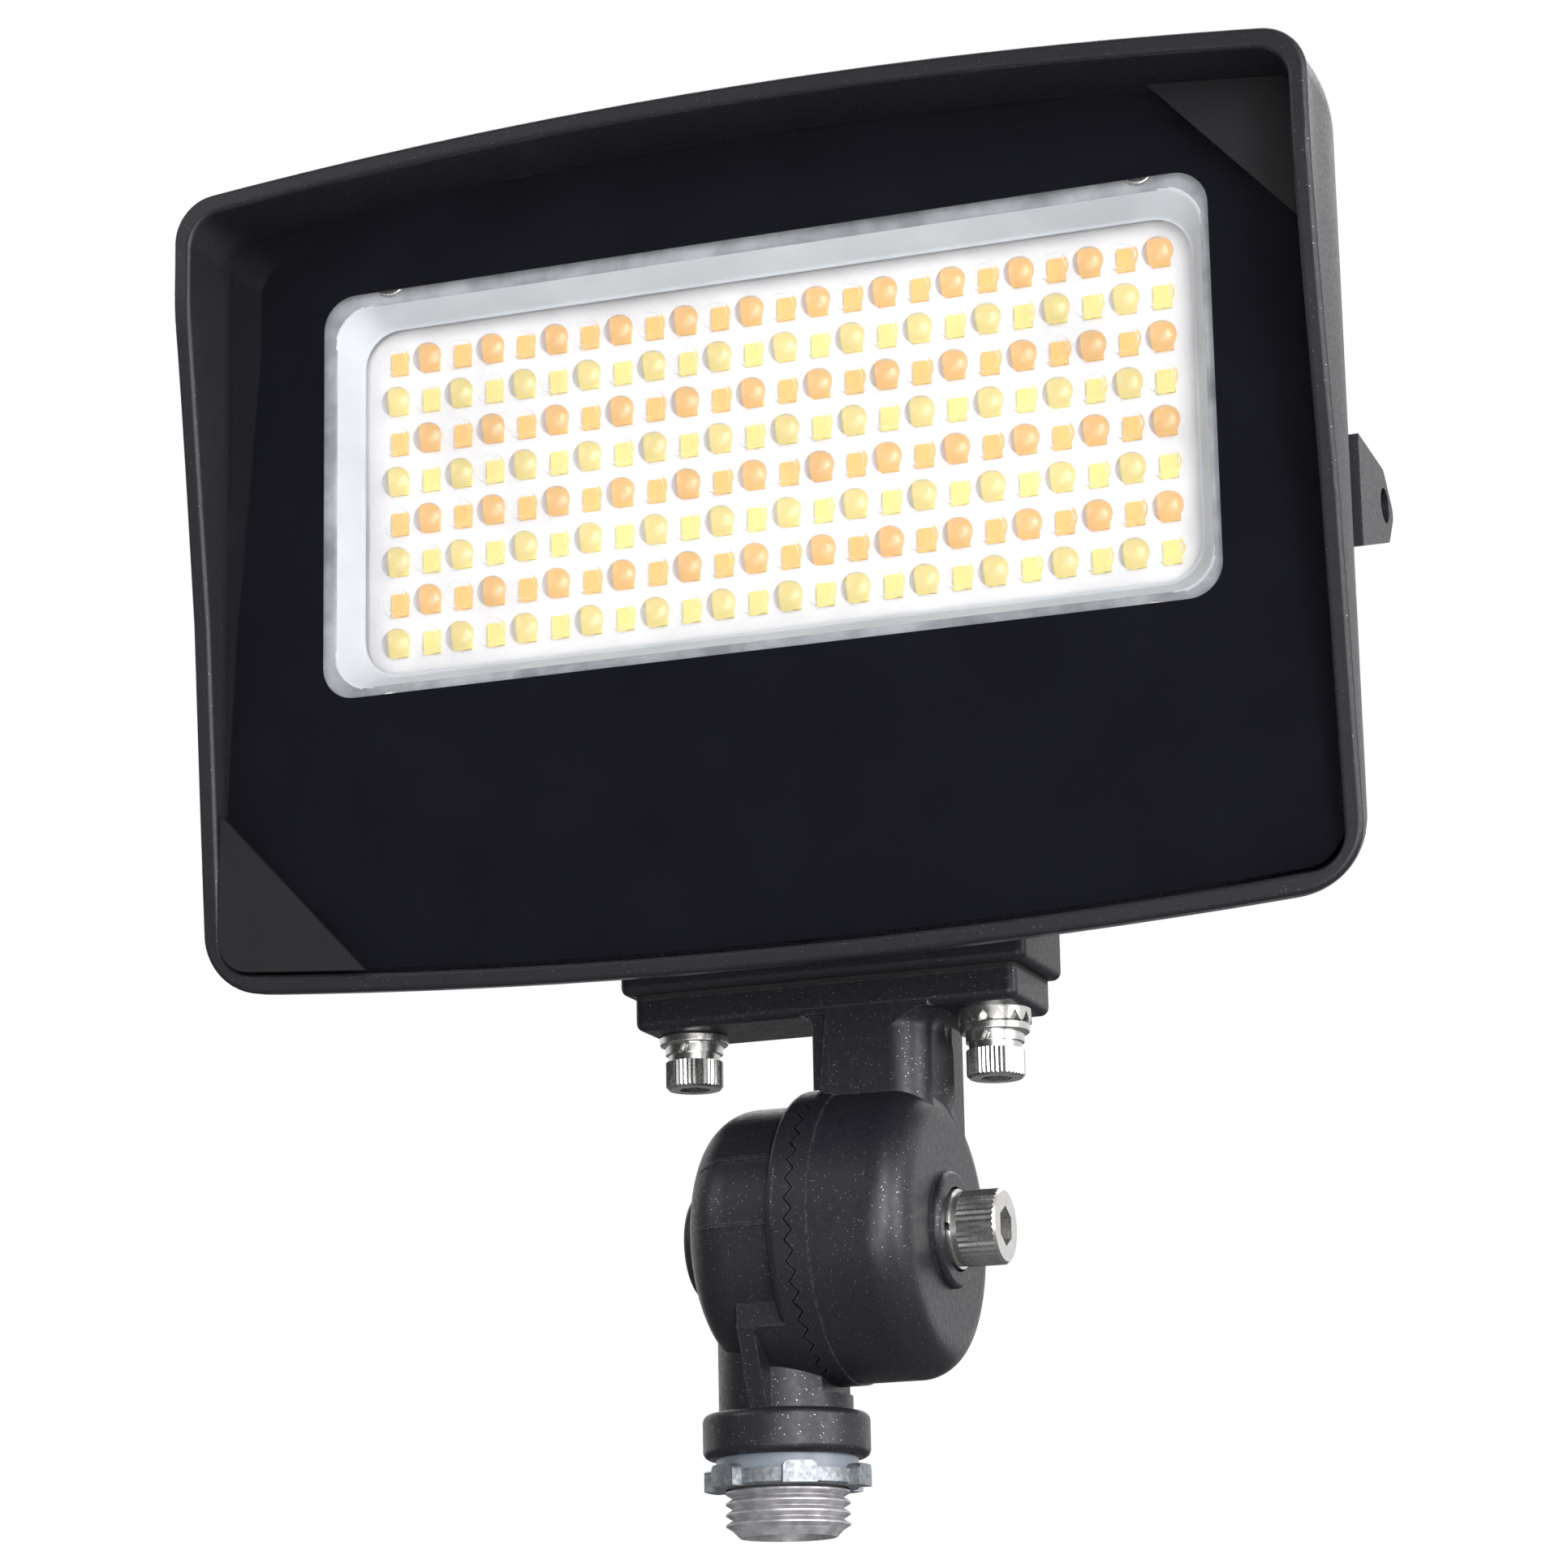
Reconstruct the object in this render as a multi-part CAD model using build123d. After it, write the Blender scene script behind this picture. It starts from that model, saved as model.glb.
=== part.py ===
"""Outdoor flood light: a cast head with a hooded glass front, on a toothed swivel knuckle.

Millimetres, +Z up, the light shines towards -Y. The origin is on the axis of the conduit
thread that holds the lamp, at the middle of its free turns.
"""

import math
import os

from build123d import *

# Conduit thread and what clamps it, half inch trade size
thread_radius = 10.55
thread_pitch = 1.814
thread_depth = 1.15
thread_crest = 0.3
free_turns = 4
hidden_turns = 3
covered_thread_drop = 0.25
thread_gap = 0.05
thread_sink = 0.4
thread_end_z = -4.8
thread_chamfer = 1.2
wire_bore_wall = 1.6
wire_bore_end = 3.2
nut_bottom_z = 3.3
nut_height = 2.7
nut_wall = 1.95
nut_lug_reach = 1.9
nut_lugs = 6
nut_lug_width = 5.8
nut_lug_rise = 0.9
nut_lug_root = 1.0
nut_lug_gap = 0.15
nut_lug_round = 1.1
nut_turn = 59.0
nut_chamfer = 0.4
nut_bore_gap = 0.1
washer_height = 2.4
washer_width = 1.55
collar_height = 7.6
collar_step = 2.8
collar_round = 1.4
stem_step = 0.9

# Gussets between the stem and the lower drum, and the drum's fuller part above the stem
gusset_width = 3.0
gusset_foot = 13.1
gusset_reach = 18.9
gusset_rise = 12.8
gusset_root_rise = 4.5
gusset_sink = 0.5
cradle_lap = 2.0

# Swivel axis and the two toothed halves
pivot_rise = 4.15
pivot_x = 10.2
tooth_count = 45
tooth_height = 1.39
tooth_gap = 0.18
ring_radius = 25.25
lower_ring_band = 4.4
lower_ring_round = 1.8
lower_drum_step = 2.45
lower_drum_end_x = -10.8
lower_drum_round = 8.5
upper_ring_band = 3.3
upper_drum_step = 0.3
upper_drum_end_x = 30.1
upper_drum_round = 6.5
drum_web = 3.2
upper_web = 6.1
drum_cavity_radius = 14.4
sleeve_wall = 3.1
sleeve_gap = 0.3
parting_line_height = 0.5
parting_line_width = 0.7
parting_line_end = 0.1
parting_line_angles = (0, 30)

# Pivot bolt, its nut and spring washer, M8
bolt_radius = 3.96
bolt_hole_gap = 0.34
bolt_end_gap = 0.2
bolt_head_radius = 6.5
bolt_head_height = 8.0
bolt_key = 6.0
bolt_key_depth = 4.2
bolt_neck_height = 1.2
bolt_neck_inset = 0.15
pivot_thread_fit = 0.06
pivot_nut_wall = 2.54
pivot_nut_height = 6.5
pivot_nut_gap = 0.1
boss_wall = 2.75
boss_height = 1.5
boss_round = 1.0
counterbore_gap = 0.45
pivot_washer_rim = 0.3
pivot_washer_height = 2.0
stem_clearance = 1.4
stem_side_gap = 1.1

# Seal ring inside the teeth
seal_set_in = 0.2
seal_width = 2.0
seal_seat_gap = 0.5
seal_half_width = 1.6
seal_gap = 0.05

# Dust cap over the nut pocket
cap_radius = 9.5
cap_height = 4.2
cap_spigot_gap = 0.3
cap_spigot_length = 2.0
cap_round = 1.5

# Neck and flange of the upper knuckle
neck_left_gap = 0.7
neck_right_gap = 0.5
neck_front_y = -10.3
neck_back_y = 9.7
neck_corner = 6.0
neck_root_rise = 8.6
neck_facets = ((1.1, -0.4, 2.7), (0.25, 4.0, 2.8))
valley_radius = 8.0
valley_depth = 1.5
valley_y = -0.6
valley_end = 3.5
neck_fillet = 3.2
neck_left_fillet = 2.0
wire_channel_radius = 4.6
wire_x = 19.0
flange_rise = 11.65
flange_height = 5.3
flange_end = 7.1
flange_corner = 1.6
flange_round = 1.5
flange_gasket_height = 0.8
ring_run_gap = 0.45

# Flange screws and washers, M6
screw_spread = 27.5
screw_radius = 2.96
screw_head_radius = 5.0
screw_head_height = 6.1
screw_neck_inset = 0.5
screw_neck_height = 1.3
screw_key = 5.0
screw_key_depth = 3.0
screw_length = 20.0
screw_boss_wall = 3.04
screw_boss_end = 2.0
screw_boss_height = 17.0
flat_washer_rim = 1.0
flat_washer_height = 1.6
flat_washer_round = 0.3
flat_washer_gap = 0.24
spring_washer_opening = 1.2
spring_washer_slant = 25
spring_washer_gap = 0.14
spring_washer_height = 1.6
tooth_washer_rim = 0.3
tooth_washer_mouth = 0.8
tooth_washer_notch = 4.6
tooth_washer_height = 2.4
tooth_washer_teeth = 14
tooth_washer_root = 0.7
knurl_count = 40
knurl_depth = 0.22
screw_hole_gap = 0.34
screw_head_chamfer = 0.5
screw_end_chamfer = 0.6

# Foot under the head
foot_ledge = 2.2
foot_ledge_front = 1.4
foot_ledge_back = 0.6
foot_round = 1.5
foot_sink = 2.0
foot_cover_gap = 0.4

# Head, beside the thread axis
head_x = 11.7
head_drop = 2.9
head_side = 21.7
head_above = 21.3
top_crown = 5.5
bottom_crown = 4.3
hood_tip_y = -54.0
rim_wall = 3.3
rim_edge_round = 0.8
shell_depths = (0.0, 12.0, 20.0, 27.0, 32.3)
shell_insets = (0.0, 0.1, 0.8, 4.2, 11.5)
shell_corners = (8.0, 10.0, 13.0, 17.0, 20.0)
floor_y = -25.2
floor_thickness = 3.5
back_y = 8.0
pocket_inset = 10.0
thread_fit = 0.04
screw_slip = 0.2

# Side profile of the hood's front edge, below the head's top and behind the hood's tip
hood_full_drop = 25.6
hood_knee_drop = 80.6
hood_knee_back = 8.6
hood_foot_back = 15.9
hood_bend = 45.0

# Glass, its printed border and its gasket
glass_front_y = -39.7
glass_thickness = 3.0
glass_gap = 0.5
glass_corner = 6.0
mask_thickness = 0.15
gasket_thickness = 1.2
gasket_width = 4.0
window_side = 1.8
window_end = 2.0
window_corner = 6.0
window_rise = 54.5
corner_plate_thickness = 1.2
corner_plate_gap = 0.1
upper_plate_width = 25.0
upper_plate_height = 27.0
lower_plate_width = 26.0
lower_plate_height = 28.0
plate_past = 5.0

# Light engine
led_columns = 24
led_rows = 8
led_pitch_x = 6.1
led_pitch_z = 7.41
board_thickness = 1.6
board_border = 0.5
board_tab_x = -52.0
board_tab_width = 16.0
board_tab_drop = 7.0
board_tab_sink = 1.0
pad_thickness = 0.4
chip_width = 3.0
chip_height = 4.0
chip_thickness = 0.7
panel_side = 3.2
panel_end = 2.46
panel_corner = 7.0
panel_thickness = 1.2
panel_stand_off = 1.6
tray_depth = 5.2
tray_slope = 2.7
tray_wall = 1.6
tray_flange_side = 5.1
tray_flange_end = 7.2
tray_flange_corner = 8.0
dome_side = 0.35
dome_height = 1.2
cup_side = 0.25
cup_height = 0.5
cup_wall = 0.6
cup_dish_depth = 0.2
cup_round = 0.2
lens_sink = 0.2
lens_screw_set_in = 12.2
lens_screw_set_out = 2.0
lens_screw_radius = 1.44
lens_screw_head_radius = 2.9
lens_screw_head_height = 1.5
lens_screw_head_gap = 0.3
lens_screw_round = 0.6
lens_screw_sink = 1.0
lens_screw_length = 7.5
lens_post_wall = 1.26
post_sink = 0.5
connector_width = 12.0
connector_height = 4.0
connector_depth = 3.6
lead_radius = 0.8
lead_spacing = 4.0
lead_bend = 3.0
lead_drop = 4.5
lead_hole_radius = 3.6

# Compartment for the driver, behind the lower half of the glass
bay_half_width = 76.0
bay_rise = 13.8
bay_height = 37.0
bay_wall = 3.0
bay_corner = 8.0
cover_thickness = 2.6
cover_gasket_thickness = 1.0
cover_screw_inset = 6.5
cover_screw_round = 0.8
cover_screw_key = 2.5
cover_screw_key_depth = 1.4
cover_screw_radius = 1.94
cover_screw_head_radius = 3.5
cover_screw_head_height = 2.4
cover_screw_length = 12.0
cover_boss_wall = 2.66
cover_round = 1.2
driver_length = 84.0
driver_height = 18.0
driver_depth = 17.0
driver_end_gap = 9.0
driver_top_gap = 3.5
driver_tab_length = 7.0
driver_tab_thickness = 2.0
driver_tab_height = 7.0
driver_screw_radius = 1.44
driver_screw_head_radius = 2.7
driver_screw_head_height = 1.8
driver_screw_length = 4.5
driver_case_round = 1.2
grommet_radius = 7.0
grommet_bore = 3.0
grommet_height = 2.4

# Colour selector in the rear cover, its rubber plug and the vent
selector_x = 44.0
selector_width = 11.0
selector_height = 7.0
selector_depth = 6.0
selector_sink = 5.2
selector_fit = 0.1
selector_knob_width = 2.0
selector_knob_height = 2.6
selector_knob_length = 3.6
selector_travel = 2.0
selector_well_wall = 1.65
slot_end_gap = 0.2
slot_depth = 2.8
plug_rim_round = 0.7
plug_radius = 8.0
plug_length = 4.0
plug_flange_rim = 2.0
plug_flange_height = 1.6
plug_tab_rise = 2.4
plug_tab_width = 2.4
plug_tab_length = 10.0
plug_tab_round = 0.6
plug_sink = 0.5
plug_gap = 0.15
vent_x = -44.0
vent_radius = 5.0
vent_round = 0.8
vent_height = 3.0
vent_stem_radius = 3.0
vent_stem_length = 4.5
vent_hole_gap = 0.1

# Cooling fins
fin_count = 17
fin_edge = 9.2
fin_thickness = 2.2
fin_root = 3.0
fin_top_drop = 2.0
fin_slope_height = 20.0
fin_bend = 12.0
body_side = 16.6
body_top_drop = 11.6
body_sink = 2.0

# Ears for side fixing
ear_drop = 17.5
ear_y = -13.0
ear_nose = 6.2
ear_slant = math.radians(70)
ear_root_top = 7.6
ear_root_bottom = 11.5
ear_root_y = -30.0
ear_depth = 14.0
ear_screw_radius = 3.0
ear_screw_depth = 10.0
ear_round = 2.2
ear_set_in = 0.1

# What follows from the sizes above
washer_bottom_z = nut_bottom_z + nut_height
collar_bottom_z = washer_bottom_z + washer_height
stem_bottom_z = collar_bottom_z + collar_height
thread_root_radius = thread_radius - thread_depth
covered_thread_radius = thread_radius - covered_thread_drop
wire_bore_radius = thread_root_radius - wire_bore_wall
nut_bore_radius = covered_thread_radius + nut_bore_gap
nut_ring_radius = thread_radius + nut_wall
nut_lug_radius = nut_ring_radius + nut_lug_reach
washer_radius = thread_radius + washer_width
stem_radius = thread_radius + stem_step
collar_radius = stem_radius + collar_step
pivot_z = stem_bottom_z + pivot_rise + ring_radius
pivot_axis = Axis((0, 0, pivot_z), (1, 0, 0))
lower_drum_radius = ring_radius - lower_drum_step
upper_drum_radius = ring_radius - upper_drum_step
bolt_hole_radius = bolt_radius + bolt_hole_gap
sleeve_radius = bolt_hole_radius + sleeve_wall
pivot_nut_bore = bolt_radius + pivot_thread_fit
pivot_nut_width = 2 * (bolt_radius + pivot_nut_wall)
pivot_washer_radius = bolt_head_radius + pivot_washer_rim
counterbore_radius = pivot_washer_radius + counterbore_gap
boss_radius = counterbore_radius + boss_wall
seal_inner_radius = drum_cavity_radius + seal_set_in
seal_outer_radius = seal_inner_radius + seal_width
seal_seat_radius = seal_outer_radius + seal_seat_gap
cap_spigot_radius = pivot_nut_width / 2 - cap_spigot_gap
nut_seat_x = -drum_web / 2
lower_cavity_x = drum_web / 2
upper_cavity_x = upper_drum_end_x - upper_web
bolt_head_x = upper_drum_end_x + pivot_washer_height
bolt_length = bolt_head_x - nut_seat_x + pivot_nut_height - bolt_end_gap
neck_left_x = pivot_x - neck_left_gap
neck_right_x = upper_drum_end_x - neck_right_gap
neck_bottom_z = pivot_z + neck_root_rise
valley_reach = math.sqrt(valley_depth * (2 * valley_radius - valley_depth))
flange_bottom_z = pivot_z + ring_radius + flange_rise
flange_top_z = flange_bottom_z + flange_height
flange_half_length = screw_spread + flange_end
foot_bottom_z = flange_top_z + flange_gasket_height
foot_half_length = flange_half_length + foot_ledge
foot_front_y = neck_front_y - foot_ledge_front
foot_back_y = neck_back_y + foot_ledge_back
screw_hole_radius = screw_radius + screw_hole_gap
screw_neck_radius = screw_head_radius - screw_neck_inset
screw_boss_radius = screw_radius + screw_boss_wall
screw_boss_top_z = foot_bottom_z + screw_boss_height
flat_washer_radius = screw_head_radius + flat_washer_rim
tooth_washer_radius = flat_washer_radius + tooth_washer_rim
hidden_overlap = 1.0
past = 1.0
glass_back_y = glass_front_y + glass_thickness
mask_back_y = glass_back_y + mask_thickness
seat_y = mask_back_y + gasket_thickness
floor_back_y = floor_y + floor_thickness
board_back_y = floor_y - pad_thickness
board_front_y = board_back_y - board_thickness
panel_back_y = board_front_y - panel_stand_off
panel_front_y = panel_back_y - panel_thickness
panel_half_width = led_columns * led_pitch_x / 2 + panel_side
panel_half_height = led_rows * led_pitch_z / 2 + panel_end
tray_front_y = panel_front_y - tray_depth
tray_flange_back_y = tray_front_y + tray_wall
window_half_width = panel_half_width + tray_slope + window_side
window_half_height = panel_half_height + tray_slope + window_end
head_half_width = window_half_width + head_side
head_bottom_z = flange_bottom_z + head_drop
window_z = head_bottom_z + window_rise + window_half_height
head_top_z = window_z + window_half_height + head_above
ear_z = window_z - ear_drop
tray_flange_half_width = window_half_width + tray_flange_side
tray_flange_half_height = window_half_height + tray_flange_end
lens_screw_x = window_half_width - lens_screw_set_in
lens_screw_z = window_half_height + lens_screw_set_out
lens_post_radius = lens_screw_radius + lens_post_wall
dome_base_radius = led_pitch_x / 2 - dome_side
cup_radius = led_pitch_x / 2 - cup_side
cup_dish_radius = cup_radius - cup_wall
board_half_width = panel_half_width + tray_wall + board_border
board_half_height = panel_half_height + tray_wall + board_border
lead_x = head_x + board_tab_x
lead_start_z = window_z - board_half_height - board_tab_drop + board_tab_sink
lead_z = lead_start_z - lead_drop - lead_bend
body_half_width = head_half_width - body_side
body_top_z = head_top_z - body_top_drop
bay_bottom_z = head_bottom_z + bay_rise
bay_top_z = bay_bottom_z + bay_height
foot_top_z = bay_bottom_z + foot_sink
fin_bottom_z = bay_top_z - fin_root
fin_top_z = body_top_z - fin_top_drop
fin_pitch = 2 * (body_half_width - fin_edge) / (fin_count - 1)
cover_y = back_y + cover_gasket_thickness
cover_back_y = cover_y + cover_thickness
cover_hole_radius = cover_screw_radius + screw_slip
cover_boss_radius = cover_screw_radius + cover_boss_wall
driver_x0 = head_x - bay_half_width + bay_wall + driver_end_gap
driver_top_z = bay_top_z - bay_wall - driver_top_gap
selector_z = (bay_bottom_z + bay_top_z) / 2
selector_face_y = cover_back_y - selector_sink
selector_slot_floor_y = selector_face_y - slot_depth
selector_well_radius = plug_radius + plug_gap + selector_well_wall
plug_flange_radius = plug_radius + plug_flange_rim
vent_hole_radius = vent_stem_radius + vent_hole_gap


def along_x(radius, x0, x1, y=0.0, z=pivot_z):
    """A round bar along X between two stations."""
    bar = Cylinder(radius, x1 - x0, rotation=(0, 90, 0))
    return Pos((x0 + x1) / 2, y, z) * bar


def along_y(radius, y0, y1, x, z):
    """A round bar along Y between two stations."""
    return Pos(x, (y0 + y1) / 2, z) * Cylinder(radius, y1 - y0, rotation=(90, 0, 0))


def along_z(radius, z0, z1, x=0.0, y=0.0):
    """A round bar along Z between two stations."""
    return Pos(x, y, (z0 + z1) / 2) * Cylinder(radius, z1 - z0)


def block(x0, x1, y0, y1, z0, z1):
    """A box given by its two corners."""
    middle = Pos((x0 + x1) / 2, (y0 + y1) / 2, (z0 + z1) / 2)
    return middle * Box(x1 - x0, y1 - y0, z1 - z0)


def plate(half_width, z0, z1, y0, y1, corner):
    """A rectangular plate with round corners, facing -Y, on the head's centre plane."""
    face = Pos(head_x, y0, (z0 + z1) / 2) * (
        Plane.XZ * RectangleRounded(2 * half_width, z1 - z0, corner)
    )
    return extrude(face, amount=y1 - y0, dir=(0, 1, 0))


def hex_bar(width, x0, x1):
    """A hexagonal bar on the pivot axis, given across its flats."""
    face = Plane((x0, 0, pivot_z), z_dir=(1, 0, 0)) * RegularPolygon(width / math.sqrt(3), 6)
    return extrude(face, amount=x1 - x0)


def knurled_outline(radius):
    """A round outline with fine vee grooves, as on a socket screw's head."""
    points = []
    for step in range(2 * knurl_count):
        reach = radius if step % 2 == 0 else radius - knurl_depth
        turn = math.pi * step / knurl_count
        points.append((reach * math.cos(turn), reach * math.sin(turn)))
    return make_face(Polyline(*points, close=True))


def socket_screw(radius, length, head_radius, head_height, key, key_depth, neck_radius, neck):
    """A socket head screw hanging down its own -Z, its bearing face at z = 0."""
    knurled = extrude(knurled_outline(head_radius), amount=head_height - neck)
    knurled &= chamfer(
        Cylinder(head_radius, head_height - neck, align=(Align.CENTER, Align.CENTER, Align.MIN))
        .edges()
        .sort_by(Axis.Z)[-1],
        screw_head_chamfer,
    )
    screw = Pos(0, 0, neck) * knurled
    screw += along_z(neck_radius, 0, neck)
    screw += along_z(radius, -length, 0)
    socket = extrude(RegularPolygon(key / math.sqrt(3), 6), amount=key_depth)
    screw -= Pos(0, 0, head_height - key_depth) * socket
    screw = chamfer(screw.edges().group_by(Axis.Z)[0], screw_end_chamfer)
    return screw


def split_ring(outer, inner, height):
    """A split spring washer lying on z = 0."""
    ring = along_z(outer, 0, height) - along_z(inner, -past, height + past)
    slit = Rot(0, spring_washer_slant, 0) * Box(spring_washer_opening, outer, 4 * height)
    return ring - Pos(0, -(outer + inner) / 2, height / 2) * slit


def tooth_solid(x_offset, towards):
    """The half space on one side of the radial tooth facets, closed at its far side."""
    reach = ring_radius + 3 * past
    swing = tooth_height / 2 * reach / ring_radius
    half_turn = math.pi / tooth_count
    outer = []
    for step in range(2 * tooth_count):
        turn = half_turn * step
        side = swing if step % 2 == 0 else -swing
        place = (reach * math.cos(turn), reach * math.sin(turn))
        outer.append((pivot_x + x_offset + side, place[0], pivot_z + place[1]))
    far_x = pivot_x + 6 * past * towards
    far = [(far_x, y, z) for _, y, z in outer]
    tip = (pivot_x + x_offset, 0, pivot_z)
    faces = [Face(Wire.make_polygon(far, close=True))]
    for here in range(len(outer)):
        after = (here + 1) % len(outer)
        faces.append(Face(Wire.make_polygon([tip, outer[here], outer[after]], close=True)))
        side = [outer[here], outer[after], far[after], far[here]]
        faces.append(Face(Wire.make_polygon(side, close=True)))
    return Solid(Shell(faces))


def thread_turns(first, count, radius):
    """Turns of the conduit thread as rings, each with a flat crest."""
    root = thread_root_radius
    rings = []
    for turn in range(first, first + count):
        z = (turn - (free_turns - 1) / 2) * thread_pitch
        half = thread_pitch / 2 - thread_gap
        crest = thread_crest / 2
        outline = Polyline(
            (root - thread_sink, z - half),
            (root, z - half),
            (radius, z - crest),
            (radius, z + crest),
            (root, z + half),
            (root - thread_sink, z + half),
            close=True,
        )
        rings.append(revolve(Plane.XZ * make_face(outline), Axis.Z))
    return rings


def lower_knuckle():
    """Thread, collar, stem and the left half of the drum, one casting."""
    drum = along_x(lower_drum_radius, lower_drum_end_x, pivot_x - lower_ring_band)
    drum = fillet(drum.edges().sort_by(Axis.X)[0], lower_drum_round)
    band_x = pivot_x - lower_ring_band
    band = along_x(ring_radius, band_x, pivot_x + 2 * past)
    band = fillet(band.edges().sort_by(Axis.X)[0], lower_ring_round)
    body = drum + (band & tooth_solid(-tooth_gap / 2, -1))
    body += cradle()
    body += stem()
    collar = along_z(collar_radius, collar_bottom_z, stem_bottom_z)
    body += fillet(collar.edges().filter_by(GeomType.CIRCLE), collar_round)
    body += gusset()
    body += Rot(0, 0, 180) * gusset()
    for angle in parting_line_angles:
        body += parting_line(angle)
    shank = along_z(thread_root_radius, thread_end_z, collar_bottom_z + hidden_overlap)
    body += chamfer(shank.edges().sort_by(Axis.Z)[0], thread_chamfer)
    body += thread_turns(0, free_turns, thread_radius)
    body += thread_turns(free_turns, hidden_turns, covered_thread_radius)
    body -= along_z(wire_bore_radius, thread_end_z - past,
                    pivot_z - wire_bore_radius - wire_bore_end)
    cavity = along_x(drum_cavity_radius, lower_cavity_x, pivot_x + 2 * past)
    cavity += along_x(seal_seat_radius, pivot_x - seal_half_width, pivot_x + 2 * past)
    cavity -= along_x(sleeve_radius, lower_cavity_x, pivot_x - sleeve_gap)
    body -= cavity
    body -= hex_bar(pivot_nut_width + pivot_nut_gap, lower_drum_end_x - past, nut_seat_x)
    body -= along_x(bolt_hole_radius, nut_seat_x - past, pivot_x + 2 * past)
    return body


def stem():
    """Upright from the collar into the drum, cut back where the other half turns."""
    sweep_z = pivot_z - ring_radius - stem_clearance
    flat_z = pivot_z - lower_drum_radius + lower_drum_round
    low = along_z(stem_radius, stem_bottom_z - hidden_overlap, flat_z)
    low -= block(pivot_x - stem_side_gap, 2 * stem_radius, -2 * stem_radius,
                 2 * stem_radius, sweep_z, flat_z + past)
    high = along_z(stem_radius, flat_z, pivot_z)
    high &= block(lower_drum_end_x, pivot_x - lower_ring_band / 2, -2 * stem_radius,
                  2 * stem_radius, flat_z, pivot_z)
    return low + high


def gusset():
    """The upright web on the front of the stem."""
    base = stem_bottom_z - gusset_sink
    bend = stem_bottom_z + gusset_rise
    outline = Polyline(
        (0, base),
        (-gusset_foot, base),
        (-gusset_reach, bend),
        (-gusset_reach, bend + gusset_root_rise),
        (0, bend + gusset_root_rise),
        close=True,
    )
    return extrude(Plane.YZ * make_face(outline), amount=gusset_width / 2, both=True)


def cradle():
    """The drum filled out over the stem as far as its toothed rim, flat at front and back."""
    x0, x1 = -gusset_width / 2, pivot_x - lower_ring_band + cradle_lap
    return along_x(ring_radius, x0, x1) & block(x0, x1, -gusset_reach, gusset_reach,
                                                pivot_z - ring_radius - past, pivot_z)


def parting_line(angle):
    """A fine raised line along the left half of the drum and round its corner."""
    x0 = lower_drum_end_x + parting_line_end
    grown = along_x(lower_drum_radius + parting_line_height, x0,
                    pivot_x - lower_ring_band + hidden_overlap)
    grown = fillet(grown.edges().sort_by(Axis.X)[0], lower_drum_round + parting_line_height)
    line = grown & block(x0, pivot_x, -ring_radius, -cap_radius,
                         pivot_z - parting_line_width / 2, pivot_z + parting_line_width / 2)
    return line.rotate(pivot_axis, -angle)


def sealing_washer():
    """Soft washer between the collar and the box."""
    ring = along_z(washer_radius, washer_bottom_z, collar_bottom_z)
    return ring - along_z(nut_bore_radius, washer_bottom_z - past, collar_bottom_z + past)


def locknut():
    """Cast locknut, its lugs standing up past the sealing washer."""
    top = nut_bottom_z + nut_height
    ring = along_z(nut_ring_radius, nut_bottom_z, top)
    ring = chamfer(ring.edges().sort_by(Axis.Z)[0], nut_chamfer)
    lug_top = top + nut_lug_rise
    bar = block(nut_ring_radius - nut_lug_root, 2 * nut_lug_radius, -nut_lug_width / 2,
                nut_lug_width / 2, nut_bottom_z, lug_top)
    bar = fillet(bar.edges().filter_by(Axis.X).group_by(Axis.Z)[-1], nut_lug_round)
    bar &= along_z(nut_lug_radius, nut_bottom_z, lug_top)
    bar -= along_z(washer_radius + nut_lug_gap, top, lug_top + past)
    for lug in range(nut_lugs):
        ring += Rot(0, 0, nut_turn + 360 / nut_lugs * lug) * bar
    return ring - along_z(nut_bore_radius, nut_bottom_z - past, top + past)


def neck():
    """Upright between the drum and the flange, with its stepped front and side valley."""
    top = flange_bottom_z + hidden_overlap
    column = block(neck_left_x, neck_right_x, neck_front_y, neck_back_y, neck_bottom_z, top)
    front_right = column.edges().filter_by(Axis.Z).sort_by(Axis.Y)[:2].sort_by(Axis.X)[-1]
    column = fillet(front_right, neck_corner)
    column += neck_flare()
    column += block(neck_left_x, upper_drum_end_x, valley_y + valley_reach, neck_back_y,
                    neck_bottom_z, top)
    valley_x = neck_right_x + valley_radius - valley_depth
    valley_top_z = flange_bottom_z - neck_fillet - valley_end
    column -= along_z(valley_radius, neck_bottom_z - past, valley_top_z, valley_x, valley_y)
    column -= Pos(valley_x, valley_y, valley_top_z) * Sphere(valley_radius)
    for depth, low, high in neck_facets:
        outline = Polyline(
            (neck_left_x - past, neck_bottom_z - past),
            (neck_left_x + low, neck_bottom_z - past),
            (neck_left_x + high, flange_bottom_z),
            (neck_left_x - past, flange_bottom_z),
            close=True,
        )
        facet = extrude(Plane.XZ * make_face(outline), amount=depth, both=True)
        column -= Pos(0, neck_front_y, 0) * facet
    return column


def flare_section(radius):
    """Concave corner between an upright face at u = 0 and the flange above it."""
    low = flange_bottom_z - radius
    slant = radius * math.sqrt(0.5)
    curve = ThreePointArc((0, low), (radius - slant, low + slant), (radius, flange_bottom_z))
    rest = Polyline(
        (radius, flange_bottom_z),
        (radius, flange_bottom_z + hidden_overlap),
        (-hidden_overlap, flange_bottom_z + hidden_overlap),
        (-hidden_overlap, low),
        (0, low),
    )
    return make_face([curve, rest])


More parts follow.
